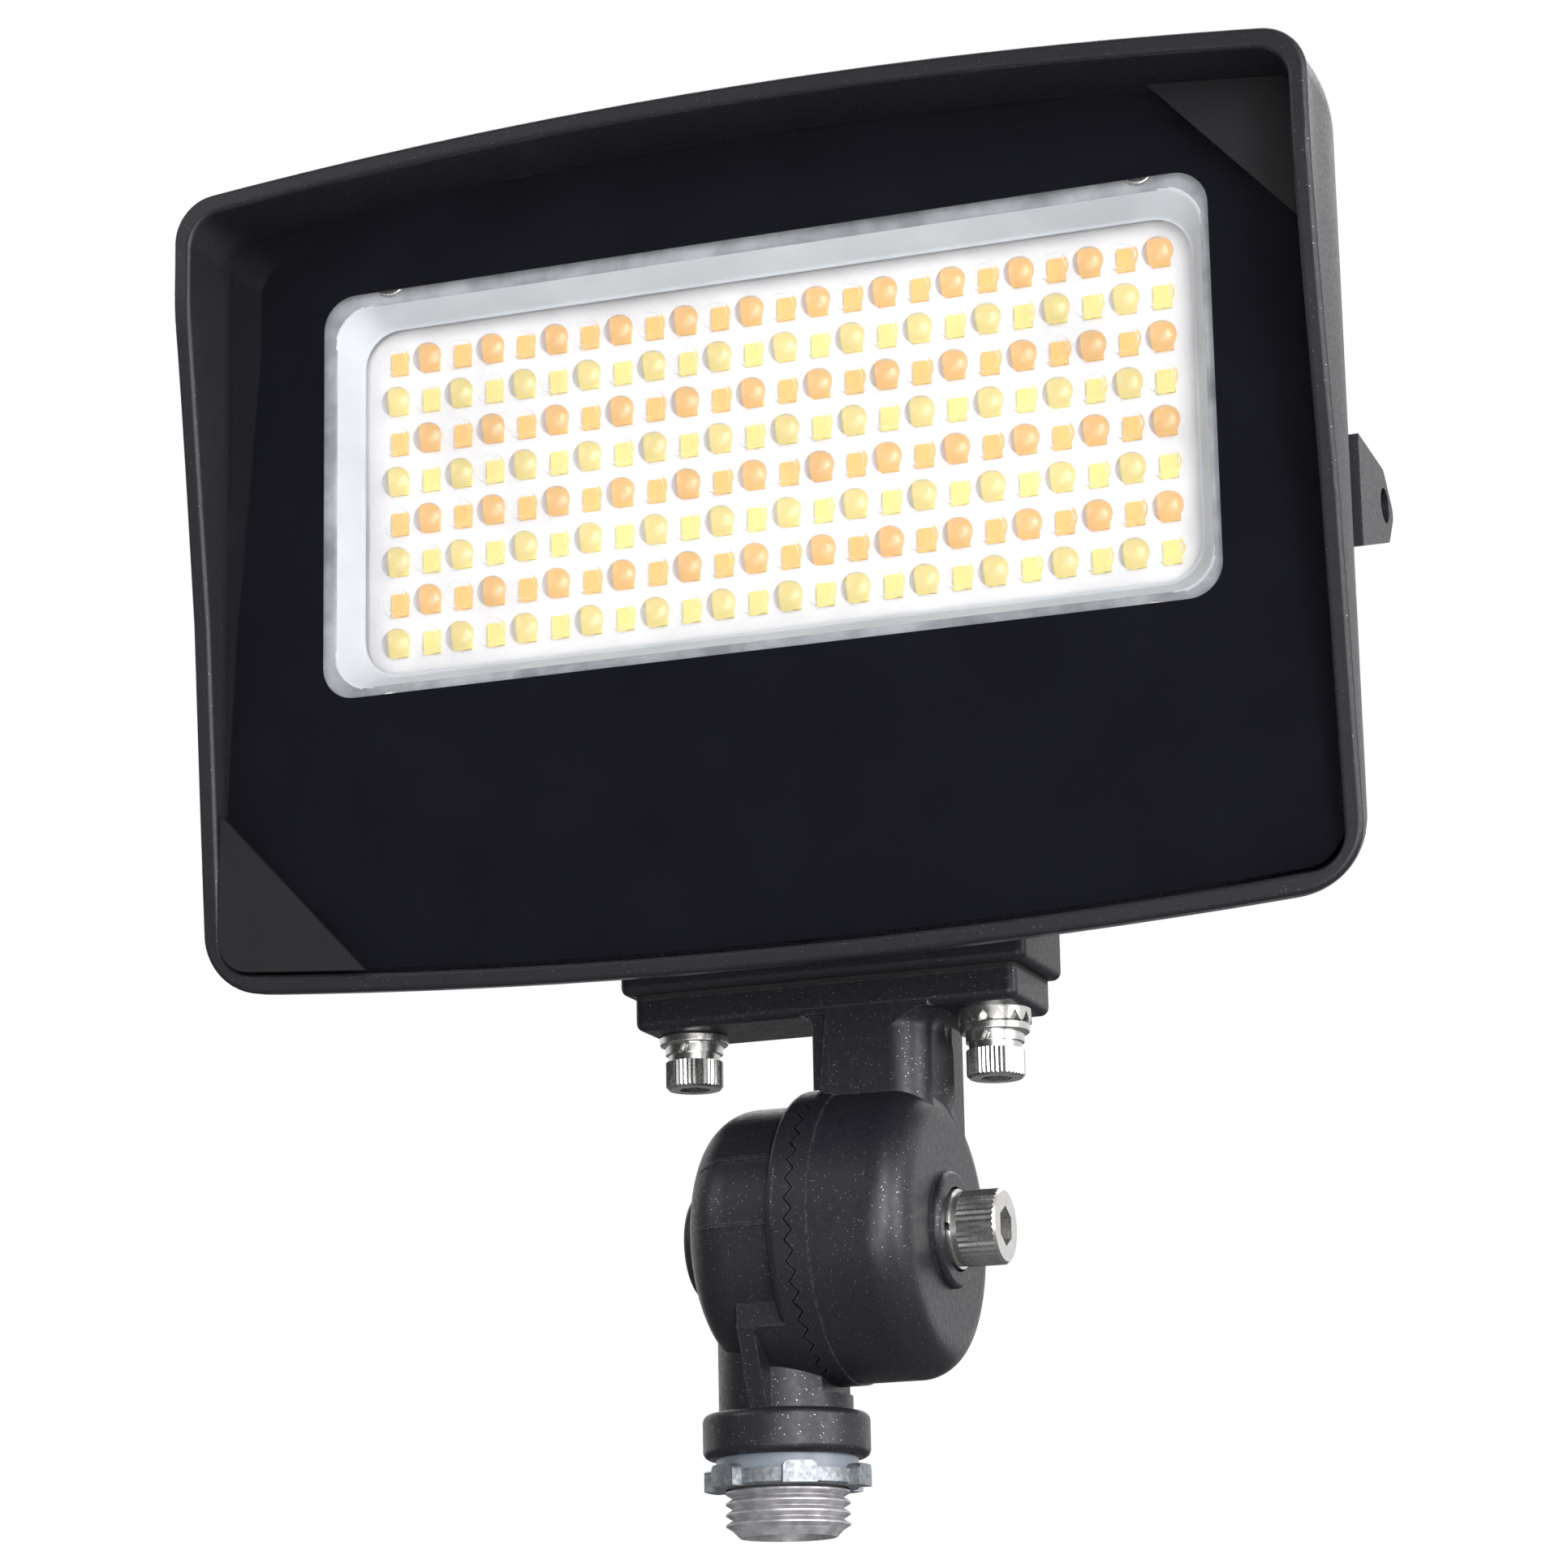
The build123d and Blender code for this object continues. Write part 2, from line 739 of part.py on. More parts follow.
def neck_flare():
    """Where the neck spreads into the flange, left, right and round its front corner."""
    depth = neck_back_y - neck_front_y
    left = extrude(Plane.XZ * flare_section(neck_left_fillet), amount=-depth)
    left = Pos(neck_left_x, neck_front_y, 0) * mirror(left, Plane.YZ)
    corner_y = neck_front_y + neck_corner
    right = extrude(Plane.XZ * flare_section(neck_fillet), amount=-(depth - neck_corner))
    right = Pos(neck_right_x, corner_y, 0) * right
    turned = Pos(neck_corner, 0, 0) * (Plane.XZ * flare_section(neck_fillet))
    turned = revolve(turned, Axis.Z, 90)
    turned = Pos(neck_right_x - neck_corner, corner_y, 0) * (Rot(0, 0, -90) * turned)
    turned &= block(neck_left_x, neck_right_x + 2 * neck_fillet, neck_front_y, neck_back_y,
                    neck_bottom_z, flange_top_z)
    return left + right + turned


def flange_outline(x_half, y0, y1, z0, z1, corner):
    """A plate centred under the head with round upright corners."""
    slab = block(head_x - x_half, head_x + x_half, y0, y1, z0, z1)
    return fillet(slab.edges().filter_by(Axis.Z), corner)


def screw_columns(radius, z0, z1):
    """A round bar at each flange screw."""
    bars = [along_z(radius, z0, z1, head_x + side * screw_spread) for side in (-1, 1)]
    return bars[0] + bars[1]


def upper_knuckle():
    """Right half of the drum, neck and flange, one casting."""
    band_end = pivot_x + upper_ring_band
    drum = along_x(upper_drum_radius, band_end, upper_drum_end_x)
    drum = fillet(drum.edges().sort_by(Axis.X)[-1], upper_drum_round)
    body = neck() - along_x(ring_radius + ring_run_gap, neck_left_x - past, pivot_x + tooth_height)
    slab = flange_outline(flange_half_length, neck_front_y, neck_back_y, flange_bottom_z,
                          flange_top_z, flange_corner)
    body += fillet(slab.faces().sort_by(Axis.Z)[0].edges(), flange_round)
    body += drum
    body += along_x(ring_radius, pivot_x - 2 * past, band_end) & tooth_solid(tooth_gap / 2, 1)
    boss = along_x(boss_radius, upper_drum_end_x - hidden_overlap, upper_drum_end_x + boss_height)
    body += fillet(boss.edges().sort_by(Axis.X)[-1], boss_round)
    body -= along_x(counterbore_radius, upper_drum_end_x, upper_drum_end_x + boss_height + past)
    cavity = along_x(drum_cavity_radius, pivot_x - 2 * past, upper_cavity_x)
    cavity += along_x(seal_seat_radius, pivot_x - 2 * past, pivot_x + seal_half_width + seal_gap)
    cavity -= along_x(sleeve_radius, pivot_x + sleeve_gap, upper_cavity_x)
    body -= cavity
    body -= along_z(wire_channel_radius, pivot_z + sleeve_radius + past, flange_top_z + past,
                    wire_x)
    body -= along_x(bolt_hole_radius, pivot_x - 2 * past, upper_drum_end_x + past)
    return body - screw_columns(screw_hole_radius, flange_bottom_z - past, flange_top_z + past)


def pivot_seal():
    """Ring that keeps water out of the drum."""
    x0, x1 = pivot_x - seal_half_width, pivot_x + seal_half_width
    return along_x(seal_outer_radius, x0, x1) - along_x(seal_inner_radius, x0 - past, x1 + past)


def pivot_bolt():
    """M8 socket head bolt on the swivel axis."""
    screw = socket_screw(bolt_radius, bolt_length, bolt_head_radius, bolt_head_height,
                         bolt_key, bolt_key_depth, bolt_head_radius - bolt_neck_inset,
                         bolt_neck_height)
    return Pos(bolt_head_x, 0, pivot_z) * (Rot(0, 90, 0) * screw)


def pivot_spring_washer():
    """Split washer under the pivot bolt's head."""
    ring = split_ring(pivot_washer_radius, bolt_hole_radius, pivot_washer_height)
    return Pos(upper_drum_end_x, 0, pivot_z) * (Rot(0, 90, 0) * ring)


def pivot_nut():
    """M8 nut in the pocket of the lower drum."""
    nut = hex_bar(pivot_nut_width, nut_seat_x - pivot_nut_height, nut_seat_x)
    return nut - along_x(pivot_nut_bore, nut_seat_x - pivot_nut_height - past, nut_seat_x + past)


def pivot_cap():
    """Cap over the nut pocket."""
    disc = along_x(cap_radius, lower_drum_end_x - cap_height, lower_drum_end_x)
    disc = fillet(disc.edges().sort_by(Axis.X)[0], cap_round)
    return disc + along_x(cap_spigot_radius, lower_drum_end_x, lower_drum_end_x + cap_spigot_length)


def flange_gasket():
    """Flat gasket between the flange and the foot."""
    sheet = flange_outline(flange_half_length, neck_front_y, neck_back_y, flange_top_z,
                           foot_bottom_z, flange_corner)
    sheet -= along_z(wire_channel_radius, flange_top_z - past, foot_bottom_z + past, wire_x)
    return sheet - screw_columns(screw_hole_radius, flange_top_z - past, foot_bottom_z + past)


def flange_screw_places():
    """Bearing height of each flange screw, left then right."""
    bearing = flange_bottom_z - flat_washer_height - spring_washer_height
    return [
        (head_x - screw_spread, bearing),
        (head_x + screw_spread, bearing - tooth_washer_height),
    ]


def flange_screws():
    """The two M6 socket head screws that hold the head on the flange."""
    screw = socket_screw(screw_radius, screw_length, screw_head_radius, screw_head_height,
                         screw_key, screw_key_depth, screw_neck_radius, screw_neck_height)
    turned = Rot(180, 0, 0) * screw
    return [Pos(x, 0, z) * turned for x, z in flange_screw_places()]


def flange_spring_washers():
    """Split washers on the flange screws."""
    ring = split_ring(screw_head_radius, screw_radius + spring_washer_gap, spring_washer_height)
    return [Pos(x, 0, z) * ring for x, z in flange_screw_places()]


def flange_flat_washers():
    """Flat washers on the flange screws."""
    ring = along_z(flat_washer_radius, 0, flat_washer_height)
    ring = fillet(ring.edges().filter_by(GeomType.CIRCLE), flat_washer_round)
    ring -= along_z(screw_radius + flat_washer_gap, -past, flat_washer_height + past)
    return [Pos(x, 0, z + spring_washer_height) * ring for x, z in flange_screw_places()]


def flange_tooth_washer():
    """Toothed washer above the right-hand flat washer, its teeth pointing down."""
    x, z = flange_screw_places()[1]
    bottom = z + spring_washer_height + flat_washer_height
    ring = along_z(tooth_washer_radius, bottom, flange_bottom_z)
    ring -= along_z(screw_hole_radius, bottom - past, flange_bottom_z + past)
    pitch = 2 * math.pi * tooth_washer_radius / tooth_washer_teeth
    mouth = pitch / 2 * tooth_washer_mouth
    outline = Polyline(
        (-mouth, bottom - past / 10),
        (mouth, bottom - past / 10),
        (0, flange_bottom_z - tooth_washer_root),
        close=True,
    )
    notch = extrude(Plane.YZ * make_face(outline), amount=tooth_washer_radius)
    notch = Pos(tooth_washer_notch, 0, 0) * notch
    for tooth in range(tooth_washer_teeth):
        ring -= Rot(0, 0, 360 / tooth_washer_teeth * (tooth + 0.5)) * notch
    return Pos(x, 0, 0) * ring


def head_outline(y, inset, corner):
    """The head's outline at a depth, with its gently crowned top and bottom."""
    half = head_half_width - inset
    top = head_top_z - inset
    bottom = head_bottom_z + inset
    top_edge = ThreePointArc(
        (head_x - half, y, top - top_crown), (head_x, y, top), (head_x + half, y, top - top_crown)
    )
    bottom_edge = ThreePointArc(
        (head_x + half, y, bottom + bottom_crown),
        (head_x, y, bottom),
        (head_x - half, y, bottom + bottom_crown),
    )
    right = Line(top_edge @ 1, bottom_edge @ 0)
    left = Line(bottom_edge @ 1, top_edge @ 0)
    face = make_face([top_edge, right, bottom_edge, left])
    return fillet(face.vertices(), corner)


def head_slice(y0, y1, inset, corner):
    """A slab of the head's outline between two depths."""
    return extrude(head_outline(y0, inset, corner), amount=y1 - y0)


def hood_trim():
    """Everything ahead of the hood's sloping front edge."""
    low, high, ahead = head_bottom_z - 10 * past, head_top_z + 10 * past, hood_tip_y - 30 * past
    edge = FilletPolyline(
        (hood_tip_y, high),
        (hood_tip_y, head_top_z - hood_full_drop),
        (hood_tip_y + hood_knee_back, head_top_z - hood_knee_drop),
        (hood_tip_y + hood_foot_back, low),
        radius=hood_bend,
    )
    far = Polyline((hood_tip_y + hood_foot_back, low), (ahead, low), (ahead, high),
                   (hood_tip_y, high))
    return Pos(head_x, 0, 0) * extrude(Plane.YZ * make_face([edge, far]),
                                       amount=head_half_width + 20 * past, both=True)


def rim_edges(body):
    """The outer and inner edges of the hood's front rim."""
    band = 2 * rim_wall * 2 * head_half_width
    rim = [face for face in body.faces()
           if face.normal_at(face.center()).Y < -0.9 and face.area < band]
    found = {}
    for face in rim:
        for edge in face.edges():
            place = tuple(round(value, 2) for value in edge.center())
            found.setdefault(place, []).append(edge)
    return [edges[0] for edges in found.values() if len(edges) == 1]


def head_shell():
    """Outer form of the head from the hood tip to the rounded shoulder."""
    stations = zip(shell_depths, shell_insets, shell_corners)
    return loft([head_outline(hood_tip_y + depth, inset, corner)
                 for depth, inset, corner in stations])


def ear(side):
    """A fixing ear on one side of the head, with its nose towards the back."""
    outline = Polyline(
        (ear_root_y, ear_z + ear_root_top),
        (ear_y, ear_z + ear_nose),
        (ear_y + ear_nose, ear_z),
        (ear_y + ear_nose * math.cos(ear_slant), ear_z - ear_nose * math.sin(ear_slant)),
        (ear_root_y, ear_z - ear_root_bottom),
        close=True,
    )
    slab = extrude(Plane.YZ * make_face(outline), amount=ear_depth)
    nose = slab.edges().filter_by(Axis.X).filter_by(lambda edge: edge.center().Y > ear_y - past)
    slab = fillet(nose, ear_round)
    slab -= along_x(ear_screw_radius, ear_depth - ear_screw_depth, ear_depth + past, ear_y, ear_z)
    outside = head_half_width - ear_set_in
    slab = Pos(outside - ear_depth, 0, 0) * slab
    return Pos(head_x, 0, 0) * (slab if side > 0 else mirror(slab, Plane.YZ))


def fins():
    """Upright cooling fins behind the light engine, trimmed to a rounded back."""
    side = Polyline(
        (floor_back_y - hidden_overlap, fin_bottom_z),
        (back_y, fin_bottom_z),
        (back_y, fin_top_z - fin_slope_height),
        (floor_back_y, fin_top_z),
        (floor_back_y - hidden_overlap, fin_top_z),
        close=True,
    )
    blade = extrude(Plane.YZ * make_face(side), amount=fin_thickness / 2, both=True)
    bend = blade.edges().filter_by(Axis.X).sort_by(Axis.Y)[-2:].sort_by(Axis.Z)[-1]
    blade = fillet(bend, fin_bend)
    middle = (fin_count - 1) / 2
    return [Pos(head_x + (n - middle) * fin_pitch, 0, 0) * blade for n in range(fin_count)]


def foot():
    """Foot that the flange bolts up to, kept below the rear cover."""
    slab = flange_outline(foot_half_length, foot_front_y, foot_back_y, foot_bottom_z,
                          foot_top_z, flange_corner)
    slab = fillet(slab.faces().sort_by(Axis.Z)[0].edges(), foot_round)
    return slab - block(head_x - 2 * foot_half_length, head_x + 2 * foot_half_length,
                        back_y, foot_back_y + past, bay_bottom_z - foot_cover_gap,
                        foot_top_z + past)


def bay_block(inset, y0, y1):
    """The driver compartment's outline between two depths."""
    return plate(bay_half_width - inset, bay_bottom_z + inset, bay_top_z - inset, y0, y1,
                 bay_corner - inset)


def cover_screw_places():
    """The four corners of the rear cover."""
    dx = bay_half_width - cover_screw_inset
    z0, z1 = bay_bottom_z + cover_screw_inset, bay_top_z - cover_screw_inset
    return [(head_x + sx * dx, z) for sx in (-1, 1) for z in (z0, z1)]


def lens_screw_places():
    """Screws of the lens tray, in its flange."""
    return [
        (head_x + sx * lens_screw_x, window_z + sz * lens_screw_z)
        for sx in (-1, 1)
        for sz in (-1, 1)
    ]


def housing():
    """Cast head: hood, glass seat, heat sink, driver compartment, foot and ears."""
    body = head_shell() - hood_trim()
    body -= head_slice(hood_tip_y - past, seat_y, rim_wall, glass_corner)
    body = fillet(rim_edges(body), rim_edge_round)
    body -= head_slice(seat_y - past, floor_y, pocket_inset, glass_corner)
    body += plate(body_half_width, bay_bottom_z + body_sink, body_top_z, floor_y, floor_back_y,
                  bay_corner)
    body += fins()
    body += bay_block(0, floor_y + hidden_overlap, back_y)
    body += foot()
    body -= bay_block(bay_wall, floor_back_y, back_y + past)
    for x, z in cover_screw_places():
        body += along_y(cover_boss_radius, floor_back_y - post_sink, back_y, x, z)
        body -= along_y(cover_screw_radius + thread_fit, back_y - cover_screw_length, back_y + past,
                        x, z)
    body += screw_columns(screw_boss_radius, foot_bottom_z + screw_boss_end, screw_boss_top_z)
    body -= screw_columns(screw_radius + thread_fit, foot_bottom_z - past,
                          screw_boss_top_z - screw_boss_end)
    for x, z in lens_screw_places():
        body += along_y(lens_post_radius, tray_flange_back_y, floor_y + post_sink, x, z)
        body -= along_y(lens_screw_radius + thread_fit, tray_flange_back_y - past,
                        floor_y + post_sink, x, z)
    for x, z in driver_screw_places():
        body -= along_y(driver_screw_radius + thread_fit, floor_back_y - driver_screw_length,
                        floor_back_y + past, x, z)
    body += [ear(-1), ear(1)]
    body -= along_z(wire_channel_radius, foot_bottom_z - past, bay_bottom_z + bay_wall + past,
                    wire_x)
    return body - along_y(lead_hole_radius, floor_y - past, floor_back_y + past, lead_x, lead_z)


def front_glass():
    """Tempered glass, recessed in the hood."""
    return head_slice(glass_front_y, glass_back_y, rim_wall + glass_gap, glass_corner)


def glass_mask():
    """Black border printed on the back of the glass."""
    sheet = head_slice(glass_back_y, mask_back_y, rim_wall + glass_gap, glass_corner)
    return sheet - plate(window_half_width, window_z - window_half_height,
                         window_z + window_half_height, glass_back_y - past, mask_back_y + past,
                         window_corner)


def glass_gasket():
    """Silicone gasket that the glass lies on."""
    ring = head_slice(mask_back_y, seat_y, rim_wall + glass_gap, glass_corner)
    return ring - head_slice(mask_back_y - past, seat_y + past, rim_wall + gasket_width,
                             glass_corner)


def corner_plate(side_x, side_z, width, height):
    """A triangular plate over one corner of the glass."""
    top = head_top_z if side_z > 0 else head_bottom_z
    x = head_x + side_x * (head_half_width - rim_wall)
    z = top - side_z * (rim_wall + (top_crown if side_z > 0 else bottom_crown))
    reach_x, reach_z = x + side_x * plate_past, z + side_z * 2 * plate_past
    slope = height / width
    outline = Polyline(
        (reach_x, z - side_z * (height + plate_past * slope)),
        (x - side_x * (width + 2 * plate_past / slope), reach_z),
        (reach_x, reach_z),
        close=True,
    )
    prism = extrude(Plane.XZ * make_face(outline), amount=-2 * hood_tip_y, both=True)
    front = glass_front_y - corner_plate_thickness
    sheet = head_slice(front, glass_front_y, rim_wall + corner_plate_gap, glass_corner)
    return sheet & prism


def led_places(warm):
    """Centres of the warm or the cool emitters, row by row from the top."""
    places = []
    for row in range(led_rows):
        if (row % 2 == 0) != warm:
            continue
        z = window_z + ((led_rows - 1) / 2 - row) * led_pitch_z
        for column in range(led_columns):
            x = head_x + (column - (led_columns - 1) / 2) * led_pitch_x
            places.append((x, z))
    return places


def led_chips(warm):
    """One colour's emitters, in alternate rows of the board."""
    chip = block(-chip_width / 2, chip_width / 2, board_front_y - chip_thickness, board_front_y,
                 -chip_height / 2, chip_height / 2)
    return [Pos(x, 0, z) * chip for x, z in led_places(warm)]


def lens_places(domed):
    """Centres of the domed or the flat lenses, which alternate like a chessboard."""
    places = []
    for row in range(led_rows):
        z = window_z + ((led_rows - 1) / 2 - row) * led_pitch_z
        for column in range(led_columns):
            x = head_x + (column - (led_columns - 1) / 2) * led_pitch_x
            if ((row + column) % 2 == 1) == domed:
                places.append((x, z))
    return places


def tray_level(half_width, half_height, y0, y1, corner):
    """A slab of the lens tray, centred on the window."""
    return plate(half_width, window_z - half_height, window_z + half_height, y0, y1, corner)


def tray_form(grow):
    """The sloping hollow of the lens tray, or with grow the outside of its walls."""
    mouth = tray_rectangle(panel_half_width + tray_slope + grow,
                           panel_half_height + tray_slope + grow, panel_corner + grow,
                           tray_front_y)
    deep = tray_rectangle(panel_half_width + grow, panel_half_height + grow,
                          panel_corner + grow, panel_front_y)
    return loft([mouth, deep])


def tray_rectangle(half_width, half_height, corner, y):
    """A round-cornered rectangle centred on the window at a depth."""
    face = Plane.XZ * RectangleRounded(2 * half_width, 2 * half_height, corner)
    return Pos(head_x, y, window_z) * face


def lens_tray():
    """Moulded clear tray with a lens over every emitter."""
    tray = tray_level(tray_flange_half_width, tray_flange_half_height, tray_front_y,
                      tray_flange_back_y, tray_flange_corner)
    tray += tray_form(tray_wall)
    tray += tray_level(panel_half_width + tray_wall, panel_half_height + tray_wall,
                       panel_front_y, board_front_y, panel_corner + tray_wall)
    tray -= tray_form(0)
    tray -= tray_level(panel_half_width, panel_half_height, panel_back_y, board_front_y + past,
                       panel_corner)
    for x, z in lens_screw_places():
        tray -= along_y(lens_screw_head_radius + lens_screw_head_gap, tray_front_y - past,
                        tray_front_y + lens_screw_sink, x, z)
        tray -= along_y(lens_screw_radius + screw_slip, tray_front_y - past,
                        tray_flange_back_y + past, x, z)
    ball = (dome_base_radius**2 + dome_height**2) / (2 * dome_height)
    dome = Pos(0, panel_front_y - dome_height + ball, 0) * Sphere(ball)
    dome &= block(-ball, ball, panel_front_y - dome_height, panel_front_y + lens_sink, -ball, ball)
    cup = along_y(cup_radius, panel_front_y - cup_height, panel_front_y + lens_sink, 0, 0)
    cup = fillet(cup.edges().sort_by(Axis.Y)[0], cup_round)
    cup -= along_y(cup_dish_radius, panel_front_y - cup_height - past,
                   panel_front_y - cup_height + cup_dish_depth, 0, 0)
    lenses = [Pos(x, 0, z) * dome for x, z in lens_places(True)]
    lenses += [Pos(x, 0, z) * cup for x, z in lens_places(False)]
    return tray + lenses


def lens_screws():
    """Four small screws through the tray's flange."""
    bearing = tray_front_y + lens_screw_sink
    screws = []
    for x, z in lens_screw_places():
        head = along_y(lens_screw_head_radius, bearing - lens_screw_head_height, bearing, x, z)
        head = fillet(head.edges().sort_by(Axis.Y)[0], lens_screw_round)
        screws.append(head + along_y(lens_screw_radius, bearing, bearing + lens_screw_length, x, z))
    return screws


def led_board():
    """Board that carries the emitters, with a tab for its connector."""
    board = tray_level(board_half_width, board_half_height, board_front_y, board_back_y,
                       panel_corner)
    z1 = window_z - board_half_height + board_tab_sink
    return board + block(lead_x - board_tab_width / 2, lead_x + board_tab_width / 2,
                         board_front_y, board_back_y, lead_start_z - board_tab_sink, z1)


def thermal_pad():
    """Pad that takes the board's heat to the casting."""
    return tray_level(board_half_width, board_half_height, board_back_y, floor_y, panel_corner)


def board_connector():
    """Push-in connector on the board's tab."""
    return block(lead_x - connector_width / 2, lead_x + connector_width / 2,
                 board_front_y - connector_depth, board_front_y,
                 lead_start_z, lead_start_z + connector_height)


def led_leads():
    """The two leads from the connector back to the driver."""
    leads = []
    y = board_front_y - connector_depth / 2
    for side in (-1, 1):
        x = lead_x + side * lead_spacing / 2
        route = FilletPolyline(
            (x, y, lead_start_z), (x, y, lead_z), (x, floor_back_y, lead_z), radius=lead_bend
        )
        leads.append(sweep(Plane(route @ 0, z_dir=route % 0) * Circle(lead_radius), path=route))
    return leads


def driver_screw_places():
    """The driver's end tabs."""
    z = driver_top_z - driver_height / 2
    reach = driver_tab_length / 2
    return [(driver_x0 - reach, z), (driver_x0 + driver_length + reach, z)]


def driver_case():
    """Potted driver in its own case, with a tab at each end."""
    case = block(driver_x0, driver_x0 + driver_length, floor_back_y, floor_back_y + driver_depth,
                 driver_top_z - driver_height, driver_top_z)
    case = fillet(case.edges().filter_by(Axis.Y), driver_case_round)
    middle_z = driver_top_z - driver_height / 2
    tabs = block(driver_x0 - driver_tab_length, driver_x0 + driver_length + driver_tab_length,
                 floor_back_y, floor_back_y + driver_tab_thickness,
                 middle_z - driver_tab_height / 2, middle_z + driver_tab_height / 2)
    case += tabs
    for x, z in driver_screw_places():
        case -= along_y(driver_screw_radius + screw_slip, floor_back_y - past,
                        floor_back_y + driver_tab_thickness + past, x, z)
    return case


def driver_screws():
    """Screws through the driver's tabs."""
    bearing = floor_back_y + driver_tab_thickness
    screws = []
    for x, z in driver_screw_places():
        head = along_y(driver_screw_head_radius, bearing, bearing + driver_screw_head_height, x, z)
        shank = along_y(driver_screw_radius, bearing - driver_screw_length, bearing, x, z)
        screws.append(head + shank)
    return screws


def wire_grommet():
    """Rubber grommet where the supply wires enter the compartment."""
    z0 = bay_bottom_z + bay_wall
    ring = along_z(grommet_radius, z0, z0 + grommet_height, wire_x)
    return ring - along_z(grommet_bore, z0 - past, z0 + grommet_height + past, wire_x)


def rear_cover_gasket():
    """Gasket under the rear cover, widened at the screws."""
    ring = bay_block(0, back_y, cover_y) - bay_block(bay_wall, back_y - past, cover_y + past)
    for x, z in cover_screw_places():
        ring += along_y(cover_boss_radius, back_y, cover_y, x, z)
        ring -= along_y(cover_hole_radius, back_y - past, cover_y + past, x, z)
    return ring


def rear_cover():
    """Cover of the driver compartment, with the selector's well and the vent hole."""
    cover = bay_block(0, cover_y, cover_back_y)
    cover = fillet(cover.faces().sort_by(Axis.Y)[-1].edges(), cover_round)
    x = head_x + selector_x
    well_y = selector_face_y - selector_depth
    cover += along_y(selector_well_radius, well_y, cover_y + post_sink, x, selector_z)
    seat = cover_back_y - plug_length - plug_gap
    cover -= along_y(plug_radius + plug_gap, seat, cover_back_y + past, x, selector_z)
    half_width = selector_width / 2 + selector_fit
    half_height = selector_height / 2 + selector_fit
    cover -= block(x - half_width, x + half_width, well_y - past, seat + past,
                   selector_z - half_height, selector_z + half_height)
    cover -= along_y(vent_hole_radius, cover_y - past, cover_back_y + past, head_x + vent_x,
                     selector_z)
    for screw_x, z in cover_screw_places():
        cover -= along_y(cover_hole_radius, cover_y - past, cover_back_y + past, screw_x, z)
    return cover


def rear_cover_screws():
    """Four M4 screws of the rear cover."""
    screws = []
    for x, z in cover_screw_places():
        head = along_y(cover_screw_head_radius, cover_back_y,
                       cover_back_y + cover_screw_head_height, x, z)
        head = fillet(head.edges().sort_by(Axis.Y)[-1], cover_screw_round)
        face = Plane((x, cover_back_y + cover_screw_head_height, z), z_dir=(0, -1, 0))
        key = RegularPolygon(cover_screw_key / math.sqrt(3), 6)
        head -= extrude(face * key, amount=cover_screw_key_depth)
        screws.append(head + along_y(cover_screw_radius, cover_back_y - cover_screw_length,
                                     cover_back_y, x, z))
    return screws


def selector_body():
    """Slide switch that picks the light's colour."""
    x = head_x + selector_x
    body = block(x - selector_width / 2, x + selector_width / 2,
                 selector_face_y - selector_depth, selector_face_y,
                 selector_z - selector_height / 2, selector_z + selector_height / 2)
    half_slot = selector_travel + selector_knob_width / 2 + slot_end_gap
    half_height = selector_knob_height / 2 + selector_fit
    return body - block(x - half_slot, x + half_slot, selector_slot_floor_y, selector_face_y + past,
                        selector_z - half_height, selector_z + half_height)


def selector_slider():
    """The switch's sliding knob."""
    x = head_x + selector_x
    y0 = selector_slot_floor_y + selector_fit
    return block(x - selector_knob_width / 2, x + selector_knob_width / 2, y0,
                 y0 + selector_knob_length,
                 selector_z - selector_knob_height / 2, selector_z + selector_knob_height / 2)


def selector_plug():
    """Rubber plug that keeps water out of the selector's well."""
    x = head_x + selector_x
    plug = along_y(plug_radius, cover_back_y - plug_length, cover_back_y + plug_sink, x, selector_z)
    rim = along_y(plug_flange_radius, cover_back_y, cover_back_y + plug_flange_height, x,
                  selector_z)
    plug += fillet(rim.edges().sort_by(Axis.Y)[-1], plug_rim_round)
    tab_y = cover_back_y + plug_flange_height
    tab = block(x - plug_tab_width / 2, x + plug_tab_width / 2, tab_y - plug_sink,
                tab_y + plug_tab_rise, selector_z - plug_tab_length / 2,
                selector_z + plug_tab_length / 2)
    return plug + fillet(tab.edges().sort_by(Axis.Y)[-4:], plug_tab_round)


def vent_plug():
    """Breather that lets the head equalise its pressure."""
    x = head_x + vent_x
    cap = along_y(vent_radius, cover_back_y, cover_back_y + vent_height, x, selector_z)
    cap = fillet(cap.edges().sort_by(Axis.Y)[-1], vent_round)
    return cap + along_y(vent_stem_radius, cover_back_y - vent_stem_length, cover_back_y, x,
                         selector_z)


def corner_plate_upper():
    """Plate over the upper right corner of the glass."""
    return corner_plate(1, 1, upper_plate_width, upper_plate_height)


def corner_plate_lower():
    """Plate over the lower left corner of the glass."""
    return corner_plate(-1, -1, lower_plate_width, lower_plate_height)


def led_chips_warm():
    """Emitters of the warm rows."""
    return led_chips(True)


def led_chips_cool():
    """Emitters of the cool rows."""
    return led_chips(False)


pieces = [
    lower_knuckle, sealing_washer, locknut, pivot_nut, pivot_cap, pivot_seal, pivot_bolt,
    pivot_spring_washer, upper_knuckle, flange_screws, flange_spring_washers,
    flange_flat_washers, flange_tooth_washer, flange_gasket, housing, front_glass, glass_mask,
    glass_gasket, corner_plate_upper, corner_plate_lower, lens_tray, lens_screws,
    led_chips_warm, led_chips_cool, led_board, thermal_pad, board_connector, led_leads,
    driver_case, driver_screws, wire_grommet, rear_cover_gasket, rear_cover,
    rear_cover_screws, selector_body, selector_slider, selector_plug, vent_plug,
]

